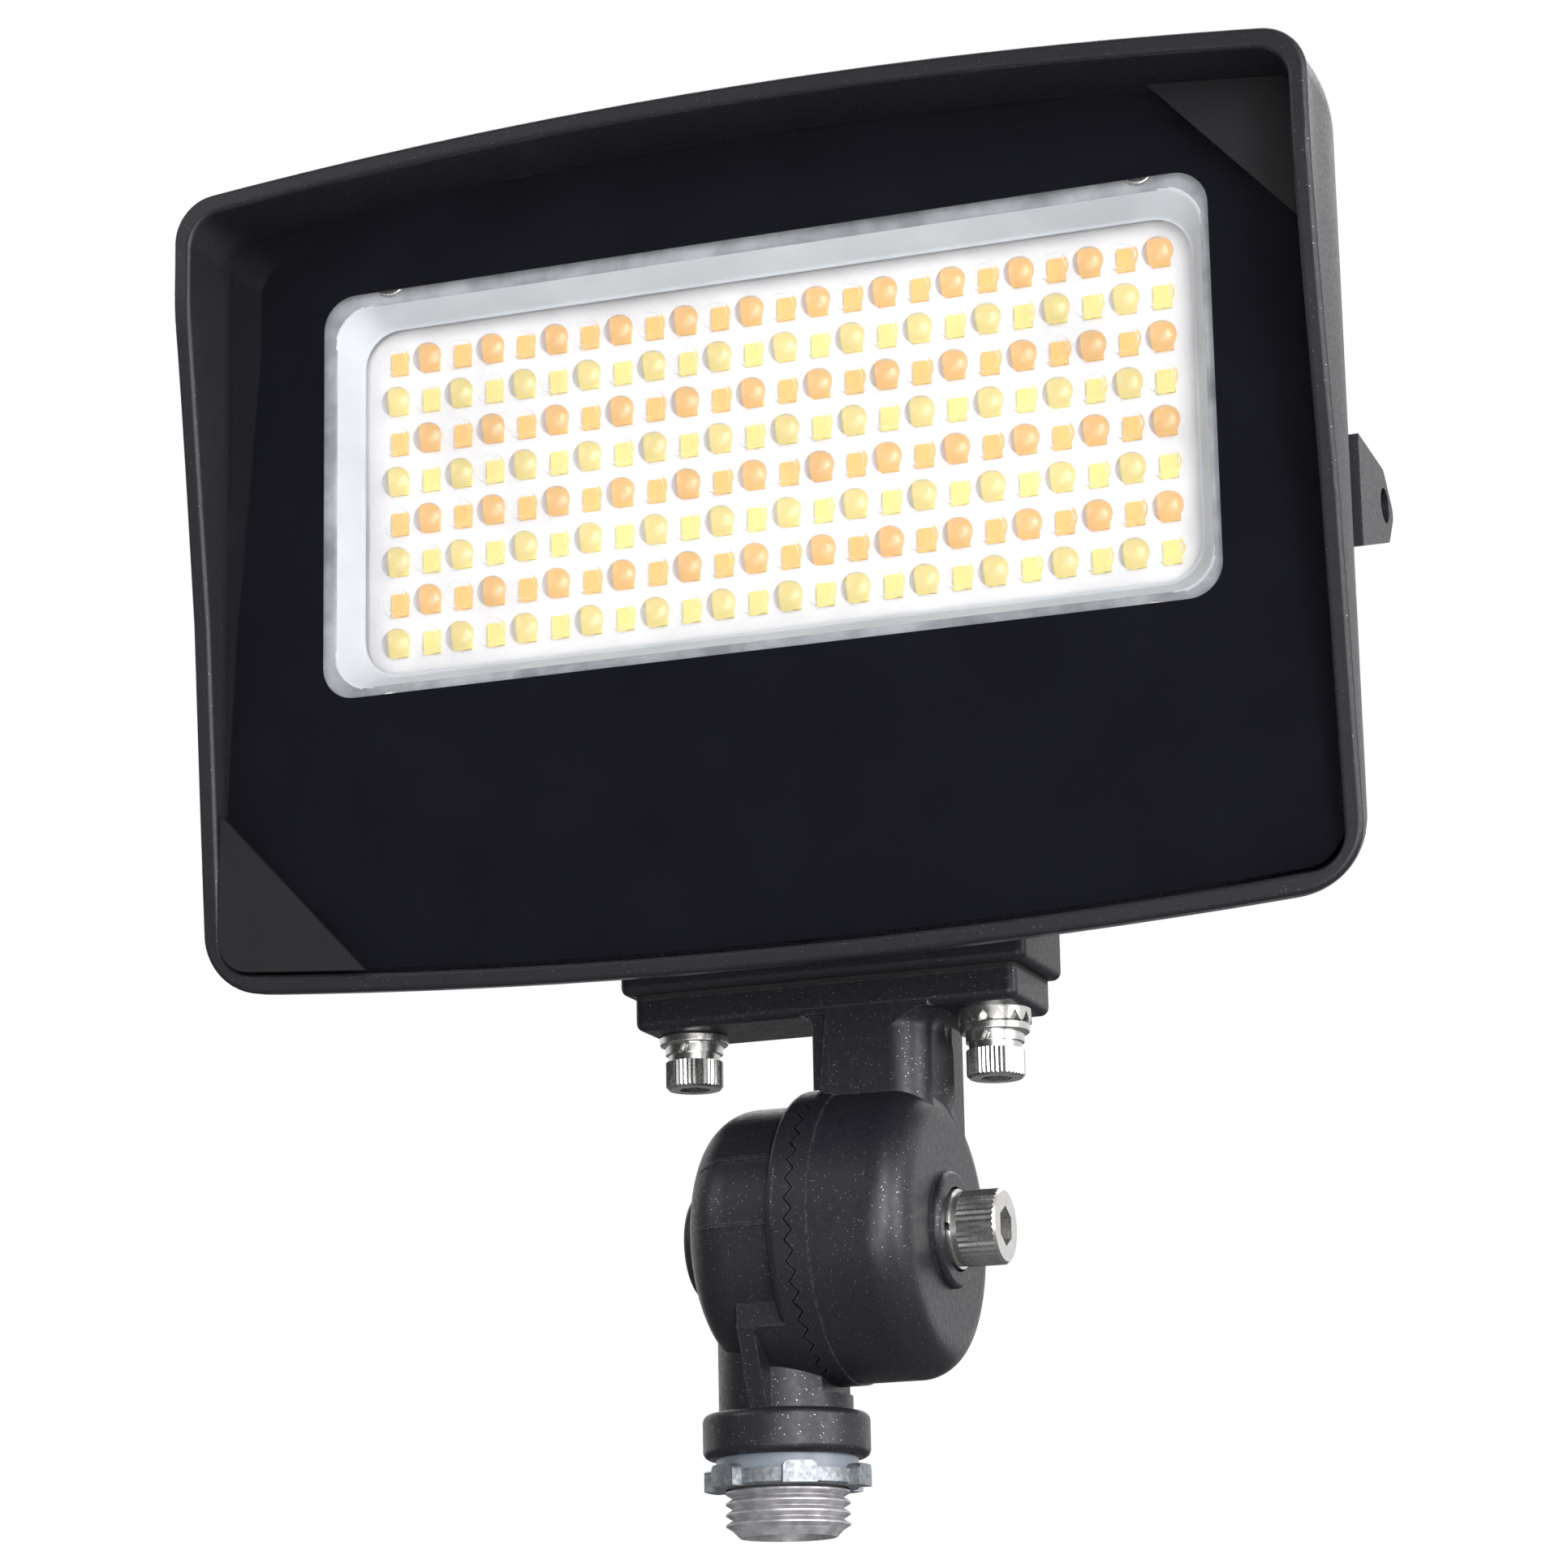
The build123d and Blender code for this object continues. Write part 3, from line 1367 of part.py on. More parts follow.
os.makedirs("parts", exist_ok=True)
for make_piece in pieces:
    shapes = make_piece()
    if not isinstance(shapes, list):
        shapes = [shapes]
    solids = [solid for shape in shapes for solid in shape.solids()]
    export_step(Compound(children=solids), f"parts/{make_piece.__name__}.step")
    print(make_piece.__name__, len(solids), round(sum(solid.volume for solid in solids)))
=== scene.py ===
import math

import bmesh
import bpy
from mathutils import Matrix, Vector


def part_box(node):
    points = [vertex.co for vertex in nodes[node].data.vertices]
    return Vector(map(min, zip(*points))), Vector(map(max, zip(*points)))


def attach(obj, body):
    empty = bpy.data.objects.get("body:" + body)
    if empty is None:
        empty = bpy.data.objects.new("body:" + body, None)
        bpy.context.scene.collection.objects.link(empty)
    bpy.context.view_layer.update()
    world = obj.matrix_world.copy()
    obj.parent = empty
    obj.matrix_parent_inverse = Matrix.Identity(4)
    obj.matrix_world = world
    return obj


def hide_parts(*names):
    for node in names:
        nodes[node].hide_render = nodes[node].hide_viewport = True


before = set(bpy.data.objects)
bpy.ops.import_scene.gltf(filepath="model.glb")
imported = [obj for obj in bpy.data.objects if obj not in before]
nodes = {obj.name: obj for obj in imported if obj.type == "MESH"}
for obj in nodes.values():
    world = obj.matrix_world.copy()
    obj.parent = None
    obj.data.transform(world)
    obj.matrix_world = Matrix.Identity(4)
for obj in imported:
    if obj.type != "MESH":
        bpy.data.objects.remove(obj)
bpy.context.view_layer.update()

mm = 0.001
scene = bpy.context.scene
scene.view_settings.view_transform = "Standard"
print("frame loaded,", len(nodes), "nodes")


# camera, floor and light

cameraSetup = {
    "place": (0.2816, -0.7540, -0.0705),
    "right": (0.9357, 0.3522, -0.0193),
    "up": (0.1012, -0.2155, 0.9712),
    "lens": 108.53,
    "sensor": 36,
    "clip": (0.05, 20),
}

studio = {
    "floorZ": -0.26,
    "floorSize": 3.0,
    "floorColor": (0.86, 0.86, 0.86),
    "floorRough": 0.9,
    "floorMirrored": (0.10, 0.10, 0.105),  # how the floor shows in glossy surfaces
    "white": (1.0, 1.0, 1.0),
    "fill": 0.30,  # world level that lights the object
    "cardColor": (0.02, 0.02, 0.022),  # dark card that the glass mirrors
    "cardDirection": (-0.34, -0.91, 0.24),
    "cardEdge": (0.05, 0.6),  # cosines where the card fades in and is full
}

lamps = [
    # name, place, aims at, width and height, power, color
    ("keyLeft", (-0.9, -0.9, 0.75), (0.0, 0.0, 0.12), (0.7, 0.7), 4.0, (1.0, 1.0, 1.0)),
    ("stripRight", (0.80, -0.93, 0.42), (0.02, 0.0, 0.06), (0.3, 0.9), 10.0, (1.0, 1.0, 1.0)),
    ("sideRight", (1.1, -0.25, 0.25), (0.05, 0.0, 0.08), (0.6, 0.6), 7.0, (1.0, 0.99, 1.0)),
    ("front", (0.55, -1.3, 0.1), (0.0, 0.0, 0.1), (0.8, 0.8), 5.8, (1.0, 1.0, 1.0)),
    ("lowFront", (0.25, -0.95, -0.22), (0.0, 0.0, 0.06), (0.8, 0.25), 3.6, (1.0, 1.0, 1.0)),
    ("overhead", (-0.1, 0.9, 1.3), (0.0, 0.0, 0.1), (1.6, 1.6), 14.0, (1.0, 1.0, 1.0)),
]


def makeCamera():
    data = bpy.data.cameras.new("camera")
    data.sensor_width = cameraSetup["sensor"]
    data.lens = cameraSetup["lens"]
    data.clip_start, data.clip_end = cameraSetup["clip"]
    camera = bpy.data.objects.new("camera", data)
    right, up = Vector(cameraSetup["right"]), Vector(cameraSetup["up"])
    turn = Matrix((right, up, right.cross(up))).transposed()
    camera.matrix_world = Matrix.Translation(cameraSetup["place"]) @ turn.to_4x4()
    scene.collection.objects.link(camera)
    scene.camera = camera


def makeLamps():
    for name, place, aim, size, power, color in lamps:
        data = bpy.data.lights.new(name, "AREA")
        data.shape, data.energy, data.color = "RECTANGLE", power, color
        data.size, data.size_y = size
        lamp = bpy.data.objects.new(name, data)
        turn = (Vector(aim) - Vector(place)).to_track_quat("-Z", "Y")
        lamp.matrix_world = Matrix.Translation(place) @ turn.to_matrix().to_4x4()
        scene.collection.objects.link(lamp)


# node helpers

def setInputs(tree, node, inputs):
    for name, value in inputs.items():
        socket = node.inputs[name]
        if isinstance(value, bpy.types.NodeSocket):
            tree.links.new(value, socket)
        elif isinstance(value, tuple) and len(value) == 3 and socket.type == "RGBA":
            socket.default_value = (*value, 1.0)
        else:
            socket.default_value = value


def addNode(tree, kind, inputs=None, **settings):
    node = tree.nodes.new(kind)
    for name, value in settings.items():
        setattr(node, name, value)
    setInputs(tree, node, inputs or {})
    return node


def newMaterial(name):
    material = bpy.data.materials.new(name)
    material.use_nodes = True
    tree = material.node_tree
    return material, tree, tree.nodes["Principled BSDF"]


def newGroup(name, inputs, outputs):
    tree = bpy.data.node_groups.new(name, "ShaderNodeTree")
    for socketName, kind, value in inputs:
        socket = tree.interface.new_socket(socketName, in_out="INPUT", socket_type=kind)
        if value is not None:
            socket.default_value = value
    for socketName, kind in outputs:
        tree.interface.new_socket(socketName, in_out="OUTPUT", socket_type=kind)
    return tree, tree.nodes.new("NodeGroupInput"), tree.nodes.new("NodeGroupOutput")


def useGroup(tree, group, **inputs):
    node = tree.nodes.new("ShaderNodeGroup")
    node.node_tree = group
    setInputs(tree, node, inputs)
    return node


def objectPoint(tree):
    return tree.nodes.new("ShaderNodeTexCoord").outputs["Object"]


def spread(tree, value, given, wanted=(0.0, 1.0), **settings):
    # a value carried over from one range to another
    return addNode(tree, "ShaderNodeMapRange", {"Value": value, "From Min": given[0],
                                                "From Max": given[1], "To Min": wanted[0],
                                                "To Max": wanted[1]}, **settings)


def setBump(tree, shader, height, distance, strength=1.0):
    bump = addNode(tree, "ShaderNodeBump", {"Height": height, "Distance": distance,
                                            "Strength": strength})
    tree.links.new(bump.outputs["Normal"], shader.inputs["Normal"])


def makeWorld():
    world = bpy.data.worlds.new("studio")
    scene.world = world
    world.use_nodes = True
    tree = world.node_tree
    background = tree.nodes["Background"]
    direction = tree.nodes.new("ShaderNodeTexCoord").outputs["Generated"]
    card = addNode(tree, "ShaderNodeVectorMath", {0: direction}, operation="DOT_PRODUCT")
    card.inputs[1].default_value = Vector(studio["cardDirection"]).normalized()
    fade = spread(tree, card.outputs["Value"], studio["cardEdge"],
                  interpolation_type="SMOOTHSTEP")
    mirrored = addNode(tree, "ShaderNodeMix", {"Factor": fade.outputs["Result"],
                                               "A": studio["white"], "B": studio["cardColor"]},
                       data_type="RGBA")
    fill = studio["fill"]
    path = tree.nodes.new("ShaderNodeLightPath").outputs
    lit = addNode(tree, "ShaderNodeMix", {"Factor": path["Is Glossy Ray"], "A": (fill, fill, fill),
                                          "B": mirrored.outputs["Result"]}, data_type="RGBA")
    plain = addNode(tree, "ShaderNodeMath", {0: path["Is Camera Ray"],
                                             1: path["Is Transmission Ray"]}, operation="MAXIMUM")
    shown = addNode(tree, "ShaderNodeMix", {"Factor": plain.outputs[0],
                                            "A": lit.outputs["Result"],
                                            "B": studio["white"]}, data_type="RGBA")
    tree.links.new(shown.outputs["Result"], background.inputs["Color"])


def makeFloor():
    bm = bmesh.new()
    bmesh.ops.create_grid(bm, x_segments=1, y_segments=1, size=studio["floorSize"])
    bmesh.ops.translate(bm, verts=bm.verts, vec=(0, 0, studio["floorZ"]))
    mesh = bpy.data.meshes.new("floor")
    bm.to_mesh(mesh)
    bm.free()
    floor = bpy.data.objects.new("floor", mesh)
    scene.collection.objects.link(floor)
    material, tree, shader = newMaterial("floorPaint")
    path = tree.nodes.new("ShaderNodeLightPath").outputs
    color = addNode(tree, "ShaderNodeMix", {"Factor": path["Is Glossy Ray"],
                                            "A": studio["floorColor"],
                                            "B": studio["floorMirrored"]}, data_type="RGBA")
    tree.links.new(color.outputs["Result"], shader.inputs["Base Color"])
    shader.inputs["Roughness"].default_value = studio["floorRough"]
    mesh.materials.append(material)


makeCamera()
makeLamps()
makeWorld()
makeFloor()
print("camera, lamps and floor ready")


# effects that several materials share

coatGrain = {
    "grainDetail": 3.0, "patchScale": 45.0, "patchDetail": 4.0, "fleckSize": 0.30,
    "noiseRange": (0.3, 0.7),  # noise values taken as its lowest and highest
    "tone": (0.9, 1.1), "roughSpread": (-0.06, 0.08),
}
patchGrain = {"detail": 5.0, "roughness": 0.6, "noiseRange": (0.35, 0.65)}
# finding sharp edges and breaking them up, for edges painted lighter as wear and a painted
# highlight
edgeWearAndHighlightShape = {
    "samples": 6,
    "cosines": (0.99, 0.85),  # between the rounded and the flat normal
    "speckleDetail": 2.0, "speckleRange": (0.4, 0.6),
}

def powderCoatGroup():
    # orange peel, fine grain and rare bright flecks of a powder coat
    tree, source, result = newGroup(
        "powderCoat",
        [("Vector", "NodeSocketVector", None), ("Paint", "NodeSocketColor", None),
         ("Fleck Color", "NodeSocketColor", None), ("Grain Scale", "NodeSocketFloat", 1500.0),
         ("Fleck Scale", "NodeSocketFloat", 4800.0), ("Fleck Share", "NodeSocketFloat", 0.03),
         ("Roughness", "NodeSocketFloat", 0.45)],
        [("Color", "NodeSocketColor"), ("Roughness", "NodeSocketFloat"),
         ("Height", "NodeSocketFloat"), ("Fleck", "NodeSocketFloat")])
    given = source.outputs
    grain = addNode(tree, "ShaderNodeTexNoise", {"Vector": given["Vector"],
                                                 "Scale": given["Grain Scale"],
                                                 "Detail": coatGrain["grainDetail"]})
    patches = addNode(tree, "ShaderNodeTexNoise", {"Vector": given["Vector"],
                                                   "Scale": coatGrain["patchScale"],
                                                   "Detail": coatGrain["patchDetail"]})
    cells = addNode(tree, "ShaderNodeTexVoronoi", {"Vector": given["Vector"],
                                                   "Scale": given["Fleck Scale"]})
    near = addNode(tree, "ShaderNodeMath", {0: cells.outputs["Distance"],
                                            1: coatGrain["fleckSize"]}, operation="LESS_THAN")
    pick = addNode(tree, "ShaderNodeSeparateColor", {"Color": cells.outputs["Color"]})
    chosen = addNode(tree, "ShaderNodeMath", {0: pick.outputs["Red"], 1: given["Fleck Share"]},
                     operation="LESS_THAN")
    fleck = addNode(tree, "ShaderNodeMath", {0: near.outputs[0], 1: chosen.outputs[0]},
                    operation="MULTIPLY")
    tone = spread(tree, patches.outputs["Fac"], coatGrain["noiseRange"], coatGrain["tone"])
    shaded = addNode(tree, "ShaderNodeVectorMath", {0: given["Paint"]}, operation="SCALE")
    tree.links.new(tone.outputs[0], shaded.inputs["Scale"])
    color = addNode(tree, "ShaderNodeMix", {"Factor": fleck.outputs[0], "A": shaded.outputs[0],
                                            "B": given["Fleck Color"]}, data_type="RGBA")
    rough = spread(tree, grain.outputs["Fac"], coatGrain["noiseRange"], coatGrain["roughSpread"])
    roughness = addNode(tree, "ShaderNodeMath", {0: given["Roughness"], 1: rough.outputs[0]},
                        operation="ADD")
    tree.links.new(color.outputs["Result"], result.inputs["Color"])
    tree.links.new(roughness.outputs[0], result.inputs["Roughness"])
    tree.links.new(grain.outputs["Fac"], result.inputs["Height"])
    tree.links.new(fleck.outputs[0], result.inputs["Fleck"])
    return tree


def mottleGroup():
    # soft patches at a chosen size, as on plated or cast metal
    tree, source, result = newGroup(
        "mottle",
        [("Vector", "NodeSocketVector", None), ("Scale", "NodeSocketFloat", 300.0),
         ("Low", "NodeSocketFloat", 0.0), ("High", "NodeSocketFloat", 1.0)],
        [("Mask", "NodeSocketFloat")])
    given = source.outputs
    noise = addNode(tree, "ShaderNodeTexNoise", {"Vector": given["Vector"], "Scale": given["Scale"],
                                                 "Detail": patchGrain["detail"],
                                                 "Roughness": patchGrain["roughness"]})
    mask = spread(tree, noise.outputs["Fac"], patchGrain["noiseRange"],
                  (given["Low"], given["High"]))
    tree.links.new(mask.outputs[0], result.inputs["Mask"])
    return tree


def edgeWearAndHighlightGroup():
    # painted highlight and wear: a sharp edge is painted lighter, standing in for both rubbed paint
    # and the highlight its rounding catches
    tree, source, result = newGroup(
        "edgeWearAndHighlight",
        [("Vector", "NodeSocketVector", None), ("Radius", "NodeSocketFloat", 0.0006),
         ("Speckle", "NodeSocketFloat", 1500.0)],
        [("Mask", "NodeSocketFloat")])
    given = source.outputs
    rounded = addNode(tree, "ShaderNodeBevel", {"Radius": given["Radius"]},
                      samples=edgeWearAndHighlightShape["samples"])
    flat = tree.nodes.new("ShaderNodeNewGeometry").outputs["Normal"]
    turned = addNode(tree, "ShaderNodeVectorMath", {0: rounded.outputs["Normal"], 1: flat},
                     operation="DOT_PRODUCT")
    mask = spread(tree, turned.outputs["Value"], edgeWearAndHighlightShape["cosines"])
    speckle = addNode(tree, "ShaderNodeTexNoise", {"Vector": given["Vector"],
                                                   "Scale": given["Speckle"],
                                                   "Detail": edgeWearAndHighlightShape["speckleDetail"]})
    broken = spread(tree, speckle.outputs["Fac"], edgeWearAndHighlightShape["speckleRange"])
    both = addNode(tree, "ShaderNodeMath", {0: mask.outputs[0], 1: broken.outputs[0]},
                   operation="MULTIPLY")
    tree.links.new(both.outputs[0], result.inputs["Mask"])
    return tree


powderCoat = powderCoatGroup()
mottle = mottleGroup()
edgeWearAndHighlight = edgeWearAndHighlightGroup()
print("shared effects ready")


# paints and metals

# edge: the lighter colour painted on sharp edges, for wear and a painted highlight
headPaint = {"paint": (0.0120, 0.0122, 0.0160), "fleck": (0.5, 0.5, 0.52), "share": 0.012,
             "rough": 0.42, "specular": 0.4, "edge": (0.07, 0.07, 0.075),
             "grain": 1500.0, "depth": 0.012}
knucklePaint = {"paint": (0.0108, 0.0109, 0.0152), "fleck": (0.8, 0.8, 0.82), "share": 0.035,
                "rough": 0.40, "specular": 0.45, "edge": (0.05, 0.05, 0.055),
                "grain": 1100.0, "depth": 0.02}
bareCasting = {"color": (0.52, 0.51, 0.525), "dark": (0.32, 0.31, 0.325), "metallic": 0.6,
               "scale": 420.0, "top": 8.2 * mm}
toothJoint = {"pivotX": 10.2 * mm, "pivotZ": 45.4 * mm, "radius": 25.25 * mm, "teeth": 45,
              "height": 1.39 * mm, "line": 0.30 * mm, "over": 0.1 * mm, "shade": 0.12}
stainless = {"color": (0.64, 0.63, 0.615), "dark": (0.56, 0.55, 0.535), "rough": 0.25,
             "metallic": 0.95, "scale": 500.0}
zinc = {"color": (0.39, 0.41, 0.43), "dark": (0.20, 0.22, 0.24), "rough": 0.46,
        "metallic": 0.9, "scale": 900.0, "grain": 1400.0, "depth": 0.03}
steelGrain = {"finer": 3, "smoother": 0.02, "rougher": 0.04}
plainGrain = {"patchScale": 60.0, "dim": 0.85, "scale": 1200.0}
milkySpecular = 0.3
milkyWall = {"color": (0.52, 0.545, 0.58), "dim": (0.44, 0.465, 0.50), "rough": 0.45,
             "scale": 55.0}
milkyBand = {"color": (0.34, 0.355, 0.38), "dim": (0.17, 0.18, 0.195), "rough": 0.35,
             "scale": 130.0}


def powderMaterial(name, look):
    material, tree, shader = newMaterial(name)
    point = objectPoint(tree)
    coat = useGroup(tree, powderCoat, Vector=point, Paint=look["paint"],
                    **{"Fleck Color": look["fleck"], "Fleck Share": look["share"],
                       "Grain Scale": look["grain"], "Roughness": look["rough"]})
    # sharp edges take the lighter edge colour: wear together with a painted highlight
    wornAndLitEdge = useGroup(tree, edgeWearAndHighlight, Vector=point)
    color = addNode(tree, "ShaderNodeMix", {"Factor": wornAndLitEdge.outputs["Mask"],
                                            "A": coat.outputs["Color"], "B": look["edge"]},
                    data_type="RGBA")
    tree.links.new(color.outputs["Result"], shader.inputs["Base Color"])
    tree.links.new(coat.outputs["Roughness"], shader.inputs["Roughness"])
    tree.links.new(coat.outputs["Fleck"], shader.inputs["Metallic"])
    shader.inputs["Specular IOR Level"].default_value = look["specular"]
    setBump(tree, shader, coat.outputs["Height"], look["depth"] * mm)
    return material


def knuckleCasting():
    # painted above the thread, bare cast metal below
    material = powderMaterial("knuckleCasting", knucklePaint)
    tree = material.node_tree
    shader = tree.nodes["Principled BSDF"]
    point = objectPoint(tree)
    height = addNode(tree, "ShaderNodeSeparateXYZ", {"Vector": point}).outputs["Z"]
    bare = addNode(tree, "ShaderNodeMath", {0: height, 1: bareCasting["top"]},
                   operation="LESS_THAN").outputs[0]
    patches = useGroup(tree, mottle, Vector=point, Scale=bareCasting["scale"])
    metal = addNode(tree, "ShaderNodeMix", {"Factor": patches.outputs["Mask"],
                                            "A": bareCasting["dark"], "B": bareCasting["color"]},
                    data_type="RGBA")
    painted = shader.inputs["Base Color"].links[0].from_socket
    color = addNode(tree, "ShaderNodeMix", {"Factor": bare, "A": painted,
                                            "B": metal.outputs["Result"]}, data_type="RGBA")
    tree.links.new(color.outputs["Result"], shader.inputs["Base Color"])
    fleck = shader.inputs["Metallic"].links[0].from_socket
    partly = addNode(tree, "ShaderNodeMath", {0: bare, 1: bareCasting["metallic"]},
                     operation="MULTIPLY")
    metallic = addNode(tree, "ShaderNodeMath", {0: partly.outputs[0], 1: fleck},
                       operation="MAXIMUM")
    tree.links.new(metallic.outputs[0], shader.inputs["Metallic"])
    return material


def toothShade(material):
    # painted shade: a dark line where the two toothed halves meet, in the crease between them
    t = toothJoint
    tree = material.node_tree
    shader = tree.nodes["Principled BSDF"]
    place = addNode(tree, "ShaderNodeSeparateXYZ", {"Vector": objectPoint(tree)}).outputs
    height = addNode(tree, "ShaderNodeMath", {0: place["Z"], 1: t["pivotZ"]}, operation="SUBTRACT")
    turn = addNode(tree, "ShaderNodeMath", {0: height.outputs[0], 1: place["Y"]},
                   operation="ARCTAN2")
    pitch = 2 * math.pi / t["teeth"]
    wave = addNode(tree, "ShaderNodeMath", {0: turn.outputs[0], 1: pitch / 2},
                   operation="PINGPONG")
    edge = spread(tree, wave.outputs[0], (0.0, pitch / 2),
                  (t["pivotX"] + t["height"] / 2, t["pivotX"] - t["height"] / 2))
    apart = addNode(tree, "ShaderNodeMath", {0: place["X"], 1: edge.outputs[0]},
                    operation="SUBTRACT")
    near = addNode(tree, "ShaderNodeMath", {0: apart.outputs[0]}, operation="ABSOLUTE")
    line = spread(tree, near.outputs[0], (t["line"] / 2, t["line"]), (t["shade"], 1.0))
    aside = addNode(tree, "ShaderNodeCombineXYZ", {"X": place["Y"], "Y": height.outputs[0]})
    away = addNode(tree, "ShaderNodeVectorMath", {0: aside.outputs[0]}, operation="LENGTH")
    deep = addNode(tree, "ShaderNodeMath", {0: away.outputs["Value"],
                                            1: t["radius"] + t["over"]}, operation="LESS_THAN")
    held = addNode(tree, "ShaderNodeMix", {"Factor": deep.outputs[0], "A": 1.0,
                                           "B": line.outputs[0]}, data_type="FLOAT")
    plain = shader.inputs["Base Color"].links[0].from_socket
    shaded = addNode(tree, "ShaderNodeVectorMath", {0: plain}, operation="SCALE")
    tree.links.new(held.outputs["Result"], shaded.inputs["Scale"])
    tree.links.new(shaded.outputs[0], shader.inputs["Base Color"])
    return material


def steelMaterial(name, look):
    material, tree, shader = newMaterial(name)
    point = objectPoint(tree)
    patches = useGroup(tree, mottle, Vector=point, Scale=look["scale"])
    color = addNode(tree, "ShaderNodeMix", {"Factor": patches.outputs["Mask"], "A": look["dark"],
                                            "B": look["color"]}, data_type="RGBA")
    tree.links.new(color.outputs["Result"], shader.inputs["Base Color"])
    shader.inputs["Metallic"].default_value = look["metallic"]
    rough = useGroup(tree, mottle, Vector=point, Scale=look["scale"] * steelGrain["finer"],
                     Low=look["rough"] - steelGrain["smoother"],
                     High=look["rough"] + steelGrain["rougher"])
    tree.links.new(rough.outputs["Mask"], shader.inputs["Roughness"])
    return material


def zincMaterial():
    # dull plate with a fine crystal grain
    material = steelMaterial("zincPlate", zinc)
    tree = material.node_tree
    grain = useGroup(tree, mottle, Vector=objectPoint(tree), Scale=zinc["grain"])
    setBump(tree, tree.nodes["Principled BSDF"], grain.outputs["Mask"], zinc["depth"] * mm)
    return material


def plainMaterial(name, color, rough, depth=0.01, specular=0.5):
    material, tree, shader = newMaterial(name)
    point = objectPoint(tree)
    patches = useGroup(tree, mottle, Vector=point, Scale=plainGrain["patchScale"])
    dim = tuple(value * plainGrain["dim"] for value in color)
    shade = addNode(tree, "ShaderNodeMix", {"Factor": patches.outputs["Mask"], "A": dim,
                                            "B": color}, data_type="RGBA")
    tree.links.new(shade.outputs["Result"], shader.inputs["Base Color"])
    shader.inputs["Roughness"].default_value = rough
    shader.inputs["Specular IOR Level"].default_value = specular
    fine = useGroup(tree, mottle, Vector=point, Scale=plainGrain["scale"])
    setBump(tree, shader, fine.outputs["Mask"], depth * mm)
    return material


def clearMaterial(name, color, rough, ior):
    # light from the lamps and the room passes straight through
    material, tree, shader = newMaterial(name)
    shader.inputs["Base Color"].default_value = (*color, 1.0)
    shader.inputs["Roughness"].default_value = rough
    shader.inputs["IOR"].default_value = ior
    shader.inputs["Transmission Weight"].default_value = 1.0
    path = tree.nodes.new("ShaderNodeLightPath").outputs
    soft = addNode(tree, "ShaderNodeMath", {0: path["Is Shadow Ray"], 1: path["Is Diffuse Ray"]},
                   operation="MAXIMUM")
    through = addNode(tree, "ShaderNodeBsdfTransparent", {"Color": color})
    mixed = addNode(tree, "ShaderNodeMixShader", {0: soft.outputs[0], 1: shader.outputs[0],
                                                  2: through.outputs[0]})
    tree.links.new(mixed.outputs[0], tree.nodes["Material Output"].inputs["Surface"])
    return material


def milkyMaterial(name, look):
    # clear moulding that scatters the board's light where it is thick
    material, tree, shader = newMaterial(name)
    point = objectPoint(tree)
    clouds = useGroup(tree, mottle, Vector=point, Scale=look["scale"])
    color = addNode(tree, "ShaderNodeMix", {"Factor": clouds.outputs["Mask"],
                                            "A": look["dim"], "B": look["color"]},
                    data_type="RGBA")
    tree.links.new(color.outputs["Result"], shader.inputs["Base Color"])
    shader.inputs["Roughness"].default_value = look["rough"]
    shader.inputs["Specular IOR Level"].default_value = milkySpecular
    return material


looks = {
    "headPaint": powderMaterial("headPaint", headPaint),
    "upperKnuckle": toothShade(powderMaterial("upperKnucklePaint", knucklePaint)),
    "lowerKnuckle": toothShade(knuckleCasting()),
    "plate": plainMaterial("platePaint", (0.0135, 0.0135, 0.0155), 0.6, specular=0.2),
    "steel": steelMaterial("stainlessSteel", stainless),
    "zinc": zincMaterial(),
    "clearRubber": plainMaterial("clearRubber", (0.17, 0.195, 0.23), 0.35),
    "blackRubber": plainMaterial("blackRubber", (0.012, 0.012, 0.012), 0.65),
    "blackPlastic": plainMaterial("blackPlastic", (0.014, 0.014, 0.015), 0.45),
    "print": plainMaterial("blackPrint", (0.0072, 0.0076, 0.0105), 0.6, depth=0.0, specular=0.0),
    "glass": clearMaterial("frontGlass", (0.975, 0.975, 0.975), 0.0, 1.5),
    "lens": clearMaterial("clearLens", (0.976, 0.974, 0.977), 0.04, 1.25),
    "dome": clearMaterial("softDome", (0.85, 0.84, 0.875), 0.27, 1.52),
    "cupWall": clearMaterial("softCup", (0.95, 0.955, 0.965), 0.30, 1.18),
    "milky": milkyMaterial("milkyWall", milkyWall),
    "band": milkyMaterial("milkyBand", milkyBand),
    "warm": plainMaterial("warmPhosphor", (0.95, 0.55, 0.17), 0.6),
    "cool": plainMaterial("coolPhosphor", (0.92, 0.76, 0.26), 0.6),
    "board": plainMaterial("whiteBoard", (0.86, 0.86, 0.87), 0.5),
    "pad": plainMaterial("greyPad", (0.35, 0.37, 0.40), 0.8),
    "whitePlastic": plainMaterial("whitePlastic", (0.75, 0.75, 0.72), 0.45),
}

